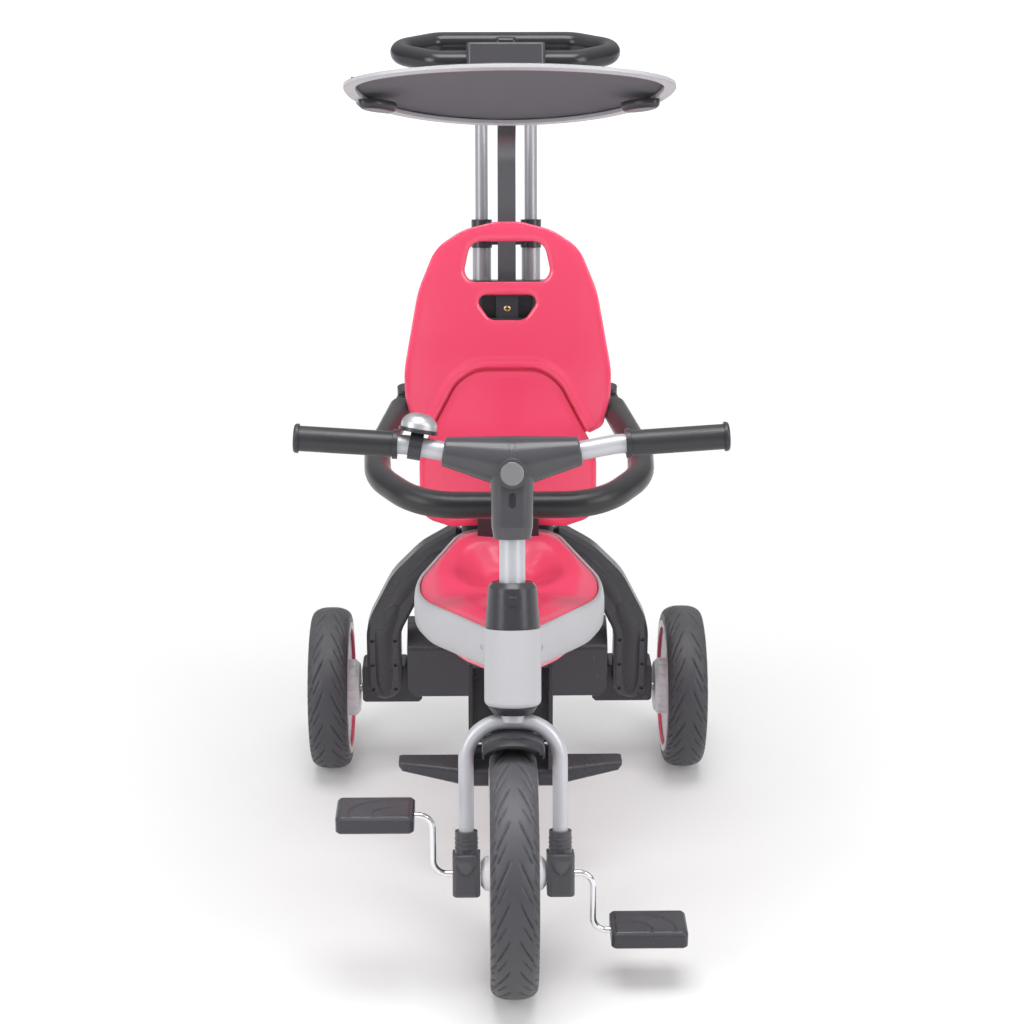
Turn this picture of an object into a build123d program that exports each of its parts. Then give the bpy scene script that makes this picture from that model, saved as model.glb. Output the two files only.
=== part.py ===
from build123d import *
import os
from math import cos, radians, sin, sqrt, tan

os.makedirs("parts", exist_ok=True)

# Clearances
fit = 0.2
run = 0.5
shaft_play = 0.08

# Wheels
front_radius = 125.0
rear_radius = 100.0
tyre_width = 48.0
tyre_height = 22.0
tyre_crown = 14.0
bead_inset = 5.0
rim_wall = 3.0
rim_flange = 4.0
rim_face_depth = 7.0
rim_plate = 3.5
wheelbase = 520.0
rear_track = 436.0
hub_boss_radius = 35.0
hub_boss_reach = 11.0
hub_core_radius = 15.0
hub_grooves = 16
hub_groove_radius = 3.0
window_count = 5
window_inner = 30.0
window_edge = 9.0
window_angle = 44.0
front_hub_radius = 19.0
hub_cap_radius = 21.0
hub_cap_height = 5.0

# Steering column, measured along the raked axis from the front axle
rake = 15.0
stem_radius = 13.0
stem_wall = 2.0
crown_top = 163.0
lower_cup_height = 8.0
lower_cup_radius = 20.0
sleeve_height = 79.0
sleeve_radius = 28.7
collar_height = 46.0
collar_base_radius = 27.5
collar_top_radius = 24.5
collar_tab = 9.0
head_tube_radius = 19.0
head_tube_wall = 2.0
bush_length = 22.0

# Fork, axle brackets and fender
fork_half = 47.5
fork_radius = 7.75
fork_wall = 1.5
fork_bend = 39.0
fork_seat = 15.0
bracket_width = 28.0
bracket_depth = 36.0
bracket_low = 21.0
bracket_high = 21.0
bracket_corner = 5.0
socket_radius = 11.5
socket_top = 44.0
axle_bush_radius = 7.0
fender_width = 63.0
fender_gap = 5.0
fender_wall = 3.0
fender_crown = 14.0
fender_front = 20.0
fender_rear = 34.0
fender_recess_width = 22.0
fender_recess_angle = 12.0

# Cranks and pedals
crank_radius = 3.25
crank_throw = 66.0
crank_offset = 81.0
crank_bend = 15.0
pedal_inner = 99.0
pedal_length = 78.0
pedal_width = 50.0
pedal_height = 17.0
pedal_corner = 6.0
pedal_grooves = 6
pedal_groove_width = 3.0
pedal_groove_depth = 1.2

# Handlebar, cover, grips and bell
bar_rise_start = 104.0
bar_half = 213.0
bar_height = 415.0
bar_rise = 19.0
bar_end_rise = 7.0
bar_radius = 9.75
bar_wall = 1.5
bar_bend = 30.0
grip_length = 99.5
grip_radius = 12.75
grip_lip = 2.0
grip_lip_length = 5.0
cover_bottom = 340.0
cover_leg_width = 41.0
cover_leg_depth = 40.0
cover_leg_taper = 4.0
cover_arm = 68.5
cover_hub_radius = 23.0
cover_hub_height = 27.0
cover_dome_radius = 24.3
cover_end_radius = 14.5
badge_drop = 9.0
badge_radius = 15.0
badge_disc_radius = 11.5
badge_proud = 2.5
bell_place = 96.0
bell_clamp_radius = 13.5
bell_clamp_width = 13.0
bell_post_height = 14.0
bell_post_radius = 5.0
bell_plate_radius = 19.5
bell_plate_height = 3.5
bell_dome_radius = 18.0
bell_dome_height = 15.0
bell_dome_wall = 1.2
bell_lever_reach = 30.0
bell_lever_width = 9.0
bell_lever_height = 3.0
bell_lever_lift = 3.0

# Main beam and footrest
beam_radius = 14.0
beam_wall = 2.0
beam_bend = 70.0
beam_head_place = 65.0
beam_head_height = 326.3
beam_knee_place = 190.0
beam_knee_height = 280.0
beam_run_place = 340.0
beam_run_height = 262.0
beam_tail_reach = 12.0
beam_tail_rise = 40.0
post_width = 92.0
post_wall = 4.5
post_front = 203.0
post_depth = 44.0
footrest_pivot_height = 147.0
footrest_pivot_inset = 7.0
footrest_pin_radius = 5.0
footrest_half = 124.0
footrest_depth = 45.0
footrest_thick = 22.0
footrest_tip_depth = 24.0
footrest_tip_thick = 11.0
footrest_sweep = 8.0
footrest_lug = 12.0

# Rear axle housing, foot blocks and legs
axle_radius = 5.0
axle_nut_radius = 9.0
axle_nut_height = 6.0
housing_half = 123.0
housing_front = 490.0
housing_depth = 60.0
housing_bottom = 99.0
housing_height = 65.0
housing_wall = 4.0
housing_rise = 22.0
housing_chamfer = 14.0
foot_outer = 180.0
foot_inner = 106.0
foot_bottom = 84.0
foot_height = 48.0
foot_front = 511.0
foot_depth = 38.0
leg_front = 484.0
leg_depth = 26.0
leg_wall = 5.0
leg_width = 42.0
leg_place = 151.0
leg_low = 99.0
leg_knee_height = 193.0
leg_elbow_place = 122.0
leg_elbow_height = 250.0
leg_shoulder_place = 91.0
leg_shoulder_height = 281.5
leg_top_height = 305.5
leg_bend = 60.0
leg_dimple_radius = 2.2
leg_dimple_depth = 3.0
leg_dimple_spread = 28.0
leg_dimple_low = 113.0
leg_dimple_pitch = 32.0

# Seat
seat_nose = 60.0
seat_rear = 440.0
seat_widest = 250.0
seat_half = 118.0
seat_rear_half = 58.0
seat_nose_half = 27.0
seat_side_round = 250.0
seat_rear_round = 45.0
band_wall = 5.0
band_nose_top = 366.0
band_low_top = 311.0
band_rear_top = 338.0
band_nose_height = 38.0
band_low_height = 40.0
band_rear_height = 42.0
band_profile_round = 160.0
pan_wall = 4.0
pan_skirt = 20.0
pan_crown = 6.0
bowl_radius = 130.0
bowl_depth = 22.0
bowl_place = 342.0
hull_wall = 3.0
hull_inset = 3.0
hull_bottom = 266.0
hull_flat_half = 42.0
hull_slope = 26.0
hull_bow = 125.0
block_width = 71.0
block_bottom = 326.0
block_height = 34.0
block_front = 414.0

# Seat back
back_place = 430.0
back_foot = 340.0
back_lean = 9.0
back_round = 260.0
back_wall = 6.0
back_gap = 3.0
lower_foot = 5.2
lower_height = 187.0
lower_half = 101.0
lower_arch_half = 59.0
lower_arch_drop = 15.0
upper_height = 358.0
upper_half = 117.0
lobe_height = 117.0
grip_hole_width = 103.0
grip_hole_low = 289.5
grip_hole_height = 46.0
grip_hole_taper = 10.0
view_hole_width = 78.0
view_hole_low = 245.5
view_hole_height = 29.0
view_hole_taper = 19.0

# Push bar
push_place = 488.0
push_foot = 300.0
push_lean = 12.0
push_half = 29.0
outer_radius = 11.0
outer_wall = 1.5
outer_length = 381.0
inner_radius = 7.5
inner_wall = 1.2
inner_length = 320.0
inner_overlap = 130.0
push_socket_half = 55.0
push_socket_depth = 48.0
push_socket_height = 76.0
push_socket_low = -28.0
push_socket_corner = 8.0
clamp_radius = 12.3
clamp_height = 33.0
clamp_cap = 7.0
clamp_bridge = 12.0
bracket_plate_width = 96.0
bracket_plate_low = 548.0
bracket_plate_height = 64.0
bracket_plate_depth = 106.0
bracket_plate_ahead = 37.0
bracket_pocket_depth = 14.0
bracket_boss_width = 26.0
bracket_boss_drop = 5.0
connector_width = 92.0
connector_depth = 40.0
connector_corner = 6.0
handle_half = 141.0
handle_flat = 82.0
handle_depth = 86.0
handle_radius = 12.5
handle_bend = 32.0
handle_side_bend = 24.0
handle_tilt = 12.0
connector_crown = 4.2
button_width = 29.0
button_depth = 20.0
button_sink = 3.8
button_proud = 7.5
button_travel = 4.0
button_round = 8.0

# Canopy
mast_width = 21.0
mast_thick = 6.0
mast_foot_place = 508.0
mast_foot_height = 556.0
mast_elbow_place = 552.0
mast_elbow_height = 792.0
mast_bend = 48.0
canopy_place = 250.0
canopy_height = 878.0
canopy_tilt = 20.0
canopy_half = 167.5
canopy_front = 95.0
canopy_rear = 188.0
rim_width = 12.0
rim_thick = 4.0
cloth_thick = 4.0
cloth_crown = 10.0
clip_place = 151.0
clip_rear = 62.0
clip_bolt_radius = 3.0
clip_lug = 8.0
knob_place = 136.0
knob_length = 46.0
knob_width = 27.0
knob_height = 9.0
knob_round = 6.0
knob_turn = 40.0
hinge_lift = 18.0
hinge_lug_radius = 6.0
hinge_pin_radius = 3.0
yoke_thick = 8.0
yoke_height = 6.0
yoke_rear = 211.0
yoke_bend = 60.0
yoke_block_width = 33.0
yoke_block_depth = 26.0
yoke_block_height = 20.0

# Guard ring
guard_front = 215.0
guard_height = 445.0
guard_slope = 8.5
guard_radius = 14.5
guard_half = 143.0
guard_corner_half = 96.0
guard_corner_place = 66.0
guard_rear_half = 146.0
guard_bend = 78.0
guard_rear_bend = 90.0
guard_pin_half = 117.5
guard_pin_place = 484.0
guard_pin_radius = 4.0
guard_boss_radius = 11.0
guard_boss_height = 16.0
guard_lug = 6.0
guard_lug_width = 12.0
guard_lug_reach = 52.0
guard_lug_turn = 120.3
guard_web_start = 35.0
guard_knuckle = 28.0
guard_hinge_reach = 150.0

# Places that follow from the sizes above
handle_reach = push_place + (outer_length - inner_overlap + inner_length) * sin(radians(push_lean))
rear_reach = handle_reach + handle_depth * cos(radians(handle_tilt)) + handle_radius
centre_shift = (front_radius - rear_reach) / 2
steer = Pos(0, 0, front_radius) * Rot(X=-rake)
back = Location(Plane((0, back_place, back_foot), (1, 0, 0),
                      (0, -cos(radians(back_lean)), sin(radians(back_lean)))))
push = Pos(0, push_place, push_foot) * Rot(X=-push_lean)
canopy = Pos(0, canopy_place, canopy_height) * Rot(X=-canopy_tilt)
guard = Pos(0, guard_front, guard_height) * Rot(X=guard_slope)
sleeve_bottom = crown_top + run + lower_cup_height
sleeve_top = sleeve_bottom + sleeve_height
collar_top = sleeve_top + collar_height
post_top = hull_bottom - fit
badge_height = bar_height - badge_drop
mirror_plane = Plane.YZ
far = 400.0


def save(name, shape):
    """Writes one node, moved so that the origin is under the middle of the box."""
    placed = Pos(0, centre_shift, 0) * shape
    placed.label = name
    export_step(placed, f"parts/{name}.step")


def both(name, right):
    """Writes a right-hand piece and its mirror image."""
    save(f"right_{name}", right)
    save(f"left_{name}", mirror(right, about=mirror_plane))


def pair(right):
    """A right-hand piece and its mirror image as separate solids of one node."""
    return Compound(children=[right, mirror(right, about=mirror_plane)])


def rod(path, radius, wall=0):
    """A round bar along a path, or a tube where a wall is given."""
    section = Circle(radius)
    if wall:
        section -= Circle(radius - wall)
    return sweep(Plane(path @ 0, z_dir=path % 0) * section, path=path)


def turned(*points):
    """A solid of revolution about Z from corners given as radius and height."""
    return revolve(Plane.XZ * make_face(Polyline(*points, close=True)), Axis.Z)


def wheel_turned(*points):
    """A solid of revolution about X from corners given as place along X and radius."""
    return revolve(Plane.XZ * make_face(Polyline(*points, close=True)), Axis.X)


def cross_rod(radius, length):
    """A round bar along X, centred on the origin."""
    return Rot(Y=90) * Cylinder(radius, length)


def rounded_box(width, depth, height, corner):
    """A box whose upright edges are rounded."""
    return extrude(RectangleRounded(width, depth, corner), amount=height / 2, both=True)


def side_prism(points, radii, half):
    """A prism across X from a closed outline drawn in the middle plane."""
    outline = FilletPolyline(*points, radius=radii, close=True)
    return extrude(Plane.YZ * make_face(outline), amount=half, both=True)


def mirrored(points):
    """Points of a right-hand outline followed by their mirror images."""
    return points + [(-x, y) for x, y in reversed(points)]


def mirrored_face(side, radii):
    """A symmetric face from a right-hand outline and its corner radii."""
    return make_face(FilletPolyline(*mirrored(side), radius=radii + radii[::-1], close=True))


# Wheels
def tyre(radius):
    half = tyre_width / 2
    bead = radius - tyre_height
    shoulder = radius - tyre_crown
    edges = [
        Line((bead_inset - half, bead), (-half, shoulder)),
        ThreePointArc((-half, shoulder), (0, radius), (half, shoulder)),
        Line((half, shoulder), (half - bead_inset, bead)),
        Line((half - bead_inset, bead), (bead_inset - half, bead)),
    ]
    return revolve(Plane.XZ * make_face(edges), Axis.X)


def rim_barrel(radius):
    """Barrel with a flange on both sides of the tyre and an open well."""
    half = tyre_width / 2
    seat = radius - tyre_height - fit
    lip = seat + rim_flange
    slant = bead_inset * rim_flange / (tyre_height - tyre_crown)
    foot = half - bead_inset + fit
    outer = half - bead_inset + rim_wall + slant
    well = seat - rim_wall
    return wheel_turned((-outer, well), (-outer, lip), (-foot - slant, lip), (-foot, seat),
                        (foot, seat), (foot + slant, lip), (outer, lip), (outer, well))


def rim_plates(radius, core):
    """Two face plates set back from the flanges, joined by the hub core."""
    outer = tyre_width / 2 - rim_face_depth
    inner = outer - rim_plate
    well = radius - tyre_height - fit - rim_wall
    top = well + rim_wall / 2
    return wheel_turned((-outer, 0), (-outer, top), (-inner, top), (-inner, core), (inner, core),
                        (inner, top), (outer, top), (outer, 0))


def windows(radius, side):
    """Tapered openings between the broad spokes of a wheel face."""
    outer = radius - tyre_height - rim_wall - window_edge
    plate = tyre_width / 2 - rim_face_depth - rim_plate / 2
    sweep_half = radians(window_angle / 2)
    wedge = make_face(Polyline((0, 0), (radius * cos(sweep_half), radius * sin(sweep_half)),
                               (radius * cos(sweep_half), -radius * sin(sweep_half)), close=True))
    opening = wedge & (Circle(outer) - Circle(window_inner))
    cutter = extrude(opening, amount=rim_plate, both=True)
    cutter = Pos(side * plate, 0, 0) * Rot(Y=90) * cutter
    return [Rot(X=360 * n / window_count) * cutter for n in range(window_count)]


def rear_rim():
    """Right-hand wheel: ribbed boss on the inner face, spokes and a cap on the outer face."""
    face = tyre_width / 2 - rim_face_depth
    boss_end = tyre_width / 2 + hub_boss_reach
    boss = wheel_turned((-boss_end, 0), (-boss_end, hub_boss_radius - 5), (-boss_end + 5, hub_boss_radius),
                        (-face + 1, hub_boss_radius), (-face + 1, 0))
    grooves = [Rot(X=360 * n / hub_grooves) * Pos(0, 0, hub_boss_radius + 1)
               * Pos(-boss_end / 2 - face / 2, 0, 0) * cross_rod(hub_groove_radius, boss_end - face - 4)
               for n in range(hub_grooves)]
    cap = wheel_turned((face - 1, 0), (face - 1, hub_cap_radius), (face + hub_cap_height - 2, hub_cap_radius),
                       (face + hub_cap_height, hub_cap_radius - 3), (face + hub_cap_height, 0))
    rim = rim_barrel(rear_radius) + rim_plates(rear_radius, hub_core_radius) + boss + cap
    rim = rim - grooves - windows(rear_radius, 1)
    bore = cross_rod(axle_radius + shaft_play, far)
    pocket = Pos(face + hub_cap_height, 0, 0) * cross_rod(axle_nut_radius + run, 2 * (axle_nut_height + run))
    return rim - bore - pocket


def front_rim():
    """Front wheel: the same spoked face on both sides and a rounded hub."""
    hub_end = fork_half - bracket_width / 2 - run
    face = tyre_width / 2 - rim_face_depth
    hub = wheel_turned((-hub_end, 0), (-hub_end, front_hub_radius - 7), (-hub_end + 4, front_hub_radius - 2),
                       (-face, front_hub_radius), (face, front_hub_radius),
                       (hub_end - 4, front_hub_radius - 2), (hub_end, front_hub_radius - 7), (hub_end, 0))
    rim = rim_barrel(front_radius) + rim_plates(front_radius, hub_core_radius) + hub
    rim = rim - windows(front_radius, 1) - windows(front_radius, -1)
    return rim - cross_rod(crank_radius + fit, far)


front_axle = Pos(0, 0, front_radius)
rear_axle = Pos(0, wheelbase, rear_radius)
right_wheel = rear_axle * Pos(rear_track / 2, 0, 0)
save("front_tyre", front_axle * tyre(front_radius))
save("front_rim", front_axle * front_rim())
both("rear_tyre", right_wheel * tyre(rear_radius))
both("rear_rim", right_wheel * rear_rim())

# Crank rod and pedals
crank_path = FilletPolyline((-pedal_inner - pedal_length + 4, 0, crank_throw),
                            (-crank_offset, 0, crank_throw),
                            (-crank_offset, 0, 0), (crank_offset, 0, 0), (crank_offset, 0, -crank_throw),
                            (pedal_inner + pedal_length - 4, 0, -crank_throw), radius=crank_bend)
save("crank_rod", front_axle * rod(crank_path, crank_radius))


def pedal():
    """Block with rounded ends, grip grooves above and below and a bore for the spindle."""
    block = rounded_box(pedal_length, pedal_width, pedal_height, pedal_corner)
    block = chamfer(block.edges().filter_by(Plane.XY), 2)
    pitch = pedal_length / (pedal_grooves + 1)
    groove = Box(pedal_groove_width, pedal_width * 0.7, 2 * pedal_groove_depth)
    for n in range(pedal_grooves):
        x = (n + 1) * pitch - pedal_length / 2
        for side in (-1, 1):
            block -= Pos(x, 0, side * pedal_height / 2) * Rot(Z=18 * side) * groove
    bore = Pos(-2 - run, 0, 0) * cross_rod(crank_radius + shaft_play, pedal_length)
    return block - bore


pedal_middle = pedal_inner + pedal_length / 2
save("right_pedal", front_axle * Pos(pedal_middle, 0, -crank_throw) * pedal())
save("left_pedal", front_axle * Pos(-pedal_middle, 0, crank_throw) * Rot(Z=180) * pedal())

# Fork and its axle brackets
fork_top = crown_top - fork_radius
fork_path = FilletPolyline((-fork_half, 0, fork_seat), (-fork_half, 0, fork_top), (fork_half, 0, fork_top),
                           (fork_half, 0, fork_seat), radius=fork_bend)
save("fork_hoop", steer * rod(fork_path, fork_radius, fork_wall))


def axle_bracket():
    """Block on the wheel axle with a socket for the fork leg."""
    height = bracket_low + bracket_high
    block = rounded_box(bracket_width, bracket_depth, height, bracket_corner)
    block = Pos(fork_half, 0, (bracket_high - bracket_low) / 2) * fillet(block.edges().group_by(Axis.Z)[0], 3)
    tip = Pos(fork_half, -bracket_depth / 2, bracket_high - 10) * Rot(X=90) * Cylinder(socket_radius - 4, 3)
    socket = Cylinder(socket_radius, socket_top - bracket_high)
    socket = Pos(fork_half, 0, (bracket_high + socket_top) / 2) * socket
    leg = Pos(fork_half, 0, fork_seat + far / 2) * Cylinder(fork_radius + fit, far)
    bush = Pos(fork_half, 0, 0) * cross_rod(axle_bush_radius + fit, bracket_width * 2)
    return block + socket + tip - leg - bush


both("axle_bracket", steer * axle_bracket())
bush = cross_rod(axle_bush_radius, bracket_width) - cross_rod(crank_radius + shaft_play, bracket_width * 2)
save("axle_bushes", steer * pair(Pos(fork_half, 0, 0) * bush))


def fender():
    """Crowned mudguard shell over the tyre, with a recess in its front end."""
    half = fender_width / 2
    inner = front_radius + fender_gap
    top = fork_top - fork_radius - fit
    low = top - fender_crown
    outer_edges = [Line((-half, inner), (-half, low)), ThreePointArc((-half, low), (0, top), (half, low)),
                   Line((half, low), (half, inner)), Line((half, inner), (-half, inner))]
    under_half = half - fender_wall
    under = [Line((-under_half, inner - 1), (-under_half, low - fender_wall)),
             ThreePointArc((-under_half, low - fender_wall), (0, top - fender_wall),
                           (under_half, low - fender_wall)),
             Line((under_half, low - fender_wall), (under_half, inner - 1)),
             Line((under_half, inner - 1), (-under_half, inner - 1))]
    total = fender_front + fender_rear
    body = revolve(Plane.XZ * make_face(outer_edges), Axis.X, total)
    hollow = revolve(Plane.XZ * make_face(under), Axis.X, total - fender_recess_angle / 2)
    recess = Plane.XZ * Pos(0, top) * Rectangle(fender_recess_width, 2 * fender_wall - 2)
    recess = revolve(recess, Axis.X, fender_recess_angle)
    shell = body - hollow - Rot(X=total - fender_recess_angle * 1.4) * recess
    return Rot(X=-fender_rear) * shell


save("fender", steer * fender())

# Handlebar and stem
bar_top = bar_height + bar_rise
bar_end = bar_top + bar_end_rise
bar_path = FilletPolyline((-bar_half, 0, bar_end), (-bar_rise_start, 0, bar_top), (0, 0, bar_height),
                          (bar_rise_start, 0, bar_top), (bar_half, 0, bar_end), radius=bar_bend)
handlebar = rod(bar_path, bar_radius, bar_wall)
save("handlebar", steer * handlebar)
stem_length = bar_height - fork_top
stem = Pos(0, 0, fork_top + stem_length / 2) * (Cylinder(stem_radius, stem_length)
                                               - Cylinder(stem_radius - stem_wall, stem_length))
stem = stem - rod(fork_path, fork_radius + fit) - rod(bar_path, bar_radius + fit)
save("steering_stem", steer * stem.solids().sort_by(SortBy.VOLUME)[-1])

# Grips with a lip at each end
grip_slope = bar_end_rise / (bar_half - bar_rise_start)
grip_end = Plane((bar_half, 0, bar_end), x_dir=(1, 0, grip_slope), z_dir=(-grip_slope, 0, 1)).location
grip = cross_rod(grip_radius, grip_length + 4)
for end in (-1, 1):
    lip = cross_rod(grip_radius + grip_lip, grip_lip_length)
    grip += Pos(end * (grip_length + 4 - grip_lip_length) / 2, 0, 0) * lip
grip = fillet(grip.edges().group_by(Axis.X)[-1], 3)
grip -= Pos(-4, 0, 0) * cross_rod(bar_radius + fit, grip_length + 4)
both("grip", steer * grip_end * Pos(2 - grip_length / 2, 0, 0) * grip)


def cover():
    """T-shaped cover round the stem and the middle of the handlebar."""
    slope = bar_rise / bar_rise_start
    lengthwise = (1, 0, slope)
    hub = Plane((0, 0, bar_height + 1), x_dir=(0, 1, 0), z_dir=lengthwise)
    end = Plane((cover_arm, 0, bar_height + cover_arm * slope), z_dir=lengthwise)
    arm = loft([hub * Ellipse(cover_hub_radius, cover_hub_height), end * Circle(cover_end_radius)])
    arm = fillet(arm.edges().sort_by(Axis.X)[-1], 2)
    leg_top = bar_height - cover_hub_radius / 2
    low = Plane((0, 0, cover_bottom)) * RectangleRounded(cover_leg_width - cover_leg_taper,
                                                          cover_leg_depth - cover_leg_taper, 14)
    mid = Plane((0, 0, cover_bottom + 12)) * RectangleRounded(cover_leg_width, cover_leg_depth, 14)
    high = Plane((0, 0, leg_top)) * RectangleRounded(cover_leg_width + 3, cover_leg_depth + 3, 16)
    leg = loft([low, mid], ruled=True) + loft([mid, high])
    dome = Pos(0, 0, bar_height - 5) * Sphere(cover_dome_radius)
    boss = Pos(0, 0, badge_height) * Rot(X=90) * Cylinder(badge_radius, cover_hub_radius + badge_proud,
                                                          align=(Align.CENTER, Align.CENTER, Align.MIN))
    solid = arm + mirror(arm, about=mirror_plane) + leg + dome + boss
    hollow = rod(bar_path, bar_radius + fit)
    stem_room = Pos(0, 0, cover_bottom + far / 4) * Cylinder(stem_radius + fit, far / 2)
    stem_room &= Pos(0, 0, bar_height + cover_hub_radius - 8 - far / 2) * Box(far, far, far)
    return solid - hollow - stem_room


cover_body = cover()
rear_half = Pos(0, far / 2, bar_height) * Box(far, far, far)
front_half = Pos(0, -far / 2, bar_height) * Box(far, far, far)
badge_seat = Pos(0, -cover_hub_radius - badge_proud, badge_height) * Rot(X=90)
cover_front = cover_body - rear_half - badge_seat * Cylinder(badge_disc_radius + fit, 3)
screw_recess = Pos(0, -cover_leg_depth / 2 - 1, badge_height - badge_radius - 12) * Rot(X=90)
cover_front -= screw_recess * extrude(SlotOverall(16, 7, rotation=90), amount=4, both=True)
save("cover_front", steer * cover_front)
save("cover_rear", steer * (cover_body - front_half))
save("badge_disc", steer * badge_seat * Pos(0, 0, -0.75) * Cylinder(badge_disc_radius, 1.5))

# Bell on the left of the handlebar, square to the sloping tube
bell_slope = bar_rise / bar_rise_start
bell_frame = steer * Plane((-bell_place, 0, bar_height + bell_place * bell_slope), x_dir=(1, 0, -bell_slope),
                           z_dir=(bell_slope, 0, 1)).location
bell_clamp = cross_rod(bell_clamp_radius, bell_clamp_width) - cross_rod(bar_radius + fit, far)
bell_post = Pos(0, 0, bar_radius + fit + 1) * Cylinder(bell_post_radius, bell_post_height - bar_radius,
                                                       align=(Align.CENTER, Align.CENTER, Align.MIN))
bell_plate_low = bell_post_height
bell_plate = Cylinder(bell_plate_radius, bell_plate_height)
bell_plate = Pos(0, 0, bell_plate_low + bell_plate_height / 2) * bell_plate
bell_pin_top = bell_plate_low + bell_plate_height + bell_dome_height - bell_dome_wall
bell_pin = Pos(0, 0, bell_plate_low) * Cylinder(3, bell_pin_top - bell_plate_low,
                                                align=(Align.CENTER, Align.CENTER, Align.MIN))
save("bell_base", bell_frame * (bell_clamp + bell_post + bell_plate + bell_pin))


def dome_form(radius, height):
    half = [Line((0, 0), (radius, 0)), Line((radius, 0), (radius, height / 3)),
            ThreePointArc((radius, height / 3), (radius * 0.75, height * 0.8), (0, height)),
            Line((0, height), (0, 0))]
    return revolve(Plane.XZ * make_face(half), Axis.Z)


dome_low = bell_plate_low + bell_plate_height + fit
bell_dome = dome_form(bell_dome_radius, bell_dome_height) - dome_form(bell_dome_radius - bell_dome_wall,
                                                                      bell_dome_height - bell_dome_wall)
lever_gap = Pos(0, bell_dome_radius, 0) * Box(bell_lever_width * 3.2, bell_dome_radius,
                                              2 * (bell_lever_height + bell_lever_lift))
save("bell_dome", bell_frame * Pos(0, 0, dome_low) * (bell_dome - lever_gap))
lever_bar = Box(bell_lever_width, bell_lever_reach - 4, bell_lever_height)
lever_bar = Pos(0, bell_lever_reach / 2 + 2, 0) * lever_bar
lever = Cylinder(7, bell_lever_height) + lever_bar - Cylinder(3 + shaft_play, far)
save("bell_lever", bell_frame * Pos(0, 0, dome_low + bell_lever_lift / 2 + bell_lever_height / 2) * lever)


# Head of the frame
def sleeve_ring(inner, outer, low, high):
    return Pos(0, 0, (low + high) / 2) * (Cylinder(outer, high - low) - Cylinder(inner, high - low))


head_top = collar_top - clamp_cap
lower_cup = turned((stem_radius + run, crown_top + run), (lower_cup_radius, crown_top + run),
                   (sleeve_radius - 3, sleeve_bottom), (stem_radius + run, sleeve_bottom))
save("lower_cup", steer * lower_cup)
head_tube = sleeve_ring(head_tube_radius - head_tube_wall, head_tube_radius, sleeve_bottom, head_top)
save("head_tube", steer * head_tube)
bush_outer = head_tube_radius - head_tube_wall - fit
head_bushes = [sleeve_ring(stem_radius + shaft_play, bush_outer, low, low + bush_length)
               for low in (sleeve_bottom, head_top - bush_length)]
save("head_bushes", steer * Compound(children=head_bushes))
beam_path = FilletPolyline((0, beam_head_place, beam_head_height), (0, beam_knee_place, beam_knee_height),
                           (0, beam_run_place, beam_run_height),
                           (0, wheelbase - beam_tail_reach, rear_radius + beam_tail_rise), radius=beam_bend)
head_room = Pos(0, 0, sleeve_bottom) * Cylinder(head_tube_radius + fit / 2, far)
main_beam = rod(beam_path, beam_radius, beam_wall) - steer * head_room
save("main_beam", main_beam.solids().sort_by(SortBy.VOLUME)[-1])
beam_room = rod(beam_path, beam_radius + fit)
head_sleeve = Pos(0, 0, (sleeve_bottom + sleeve_top) / 2) * Cylinder(sleeve_radius, sleeve_height)
head_sleeve = fillet(head_sleeve.edges().group_by(Axis.Z)[0], 6)
head_sleeve -= Cylinder(head_tube_radius + fit, 2 * far)
save("head_sleeve", steer * head_sleeve - beam_room)
collar_low = sleeve_top + fit
collar = turned((0, collar_low), (collar_base_radius, collar_low), (collar_top_radius, collar_top - 5),
                (collar_top_radius - 4, collar_top), (0, collar_top))
tab = Pos(0, -collar_top_radius, collar_low + collar_height * 0.62) * Box(collar_tab, 4, collar_tab)
collar = collar + tab - Pos(0, 0, head_top - far / 2) * Cylinder(head_tube_radius + fit, far)
save("upper_collar", steer * (collar - Cylinder(stem_radius + run, 2 * far)))

# Footrest post, a channel open to the front, and the folding footrest
post_rear = post_front + post_depth
pivot_place = post_rear - footrest_pivot_inset
post_bottom = footrest_pivot_height - footrest_pivot_inset
post_middle = (post_front + post_rear) / 2
channel = Box(post_width, post_depth, post_top - post_bottom)
channel = Pos(0, post_middle, (post_bottom + post_top) / 2) * channel
rear_low = channel.edges().filter_by(Axis.X).sort_by(Axis.Y)[-2:].sort_by(Axis.Z)[0]
channel = fillet(rear_low, footrest_pivot_inset - fit)
inside = Box(post_width - 2 * post_wall, post_depth, far)
channel -= Pos(0, post_middle - post_wall, footrest_pivot_height) * inside
back_cut = Box(post_width - 2 * post_wall, post_depth * 2, 2 * footrest_lug)
channel -= Pos(0, post_middle, footrest_pivot_height) * back_cut
pivot = Pos(0, pivot_place, footrest_pivot_height)
save("footrest_post", channel - pivot * cross_rod(footrest_pin_radius + shaft_play, far) - beam_room)


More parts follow.
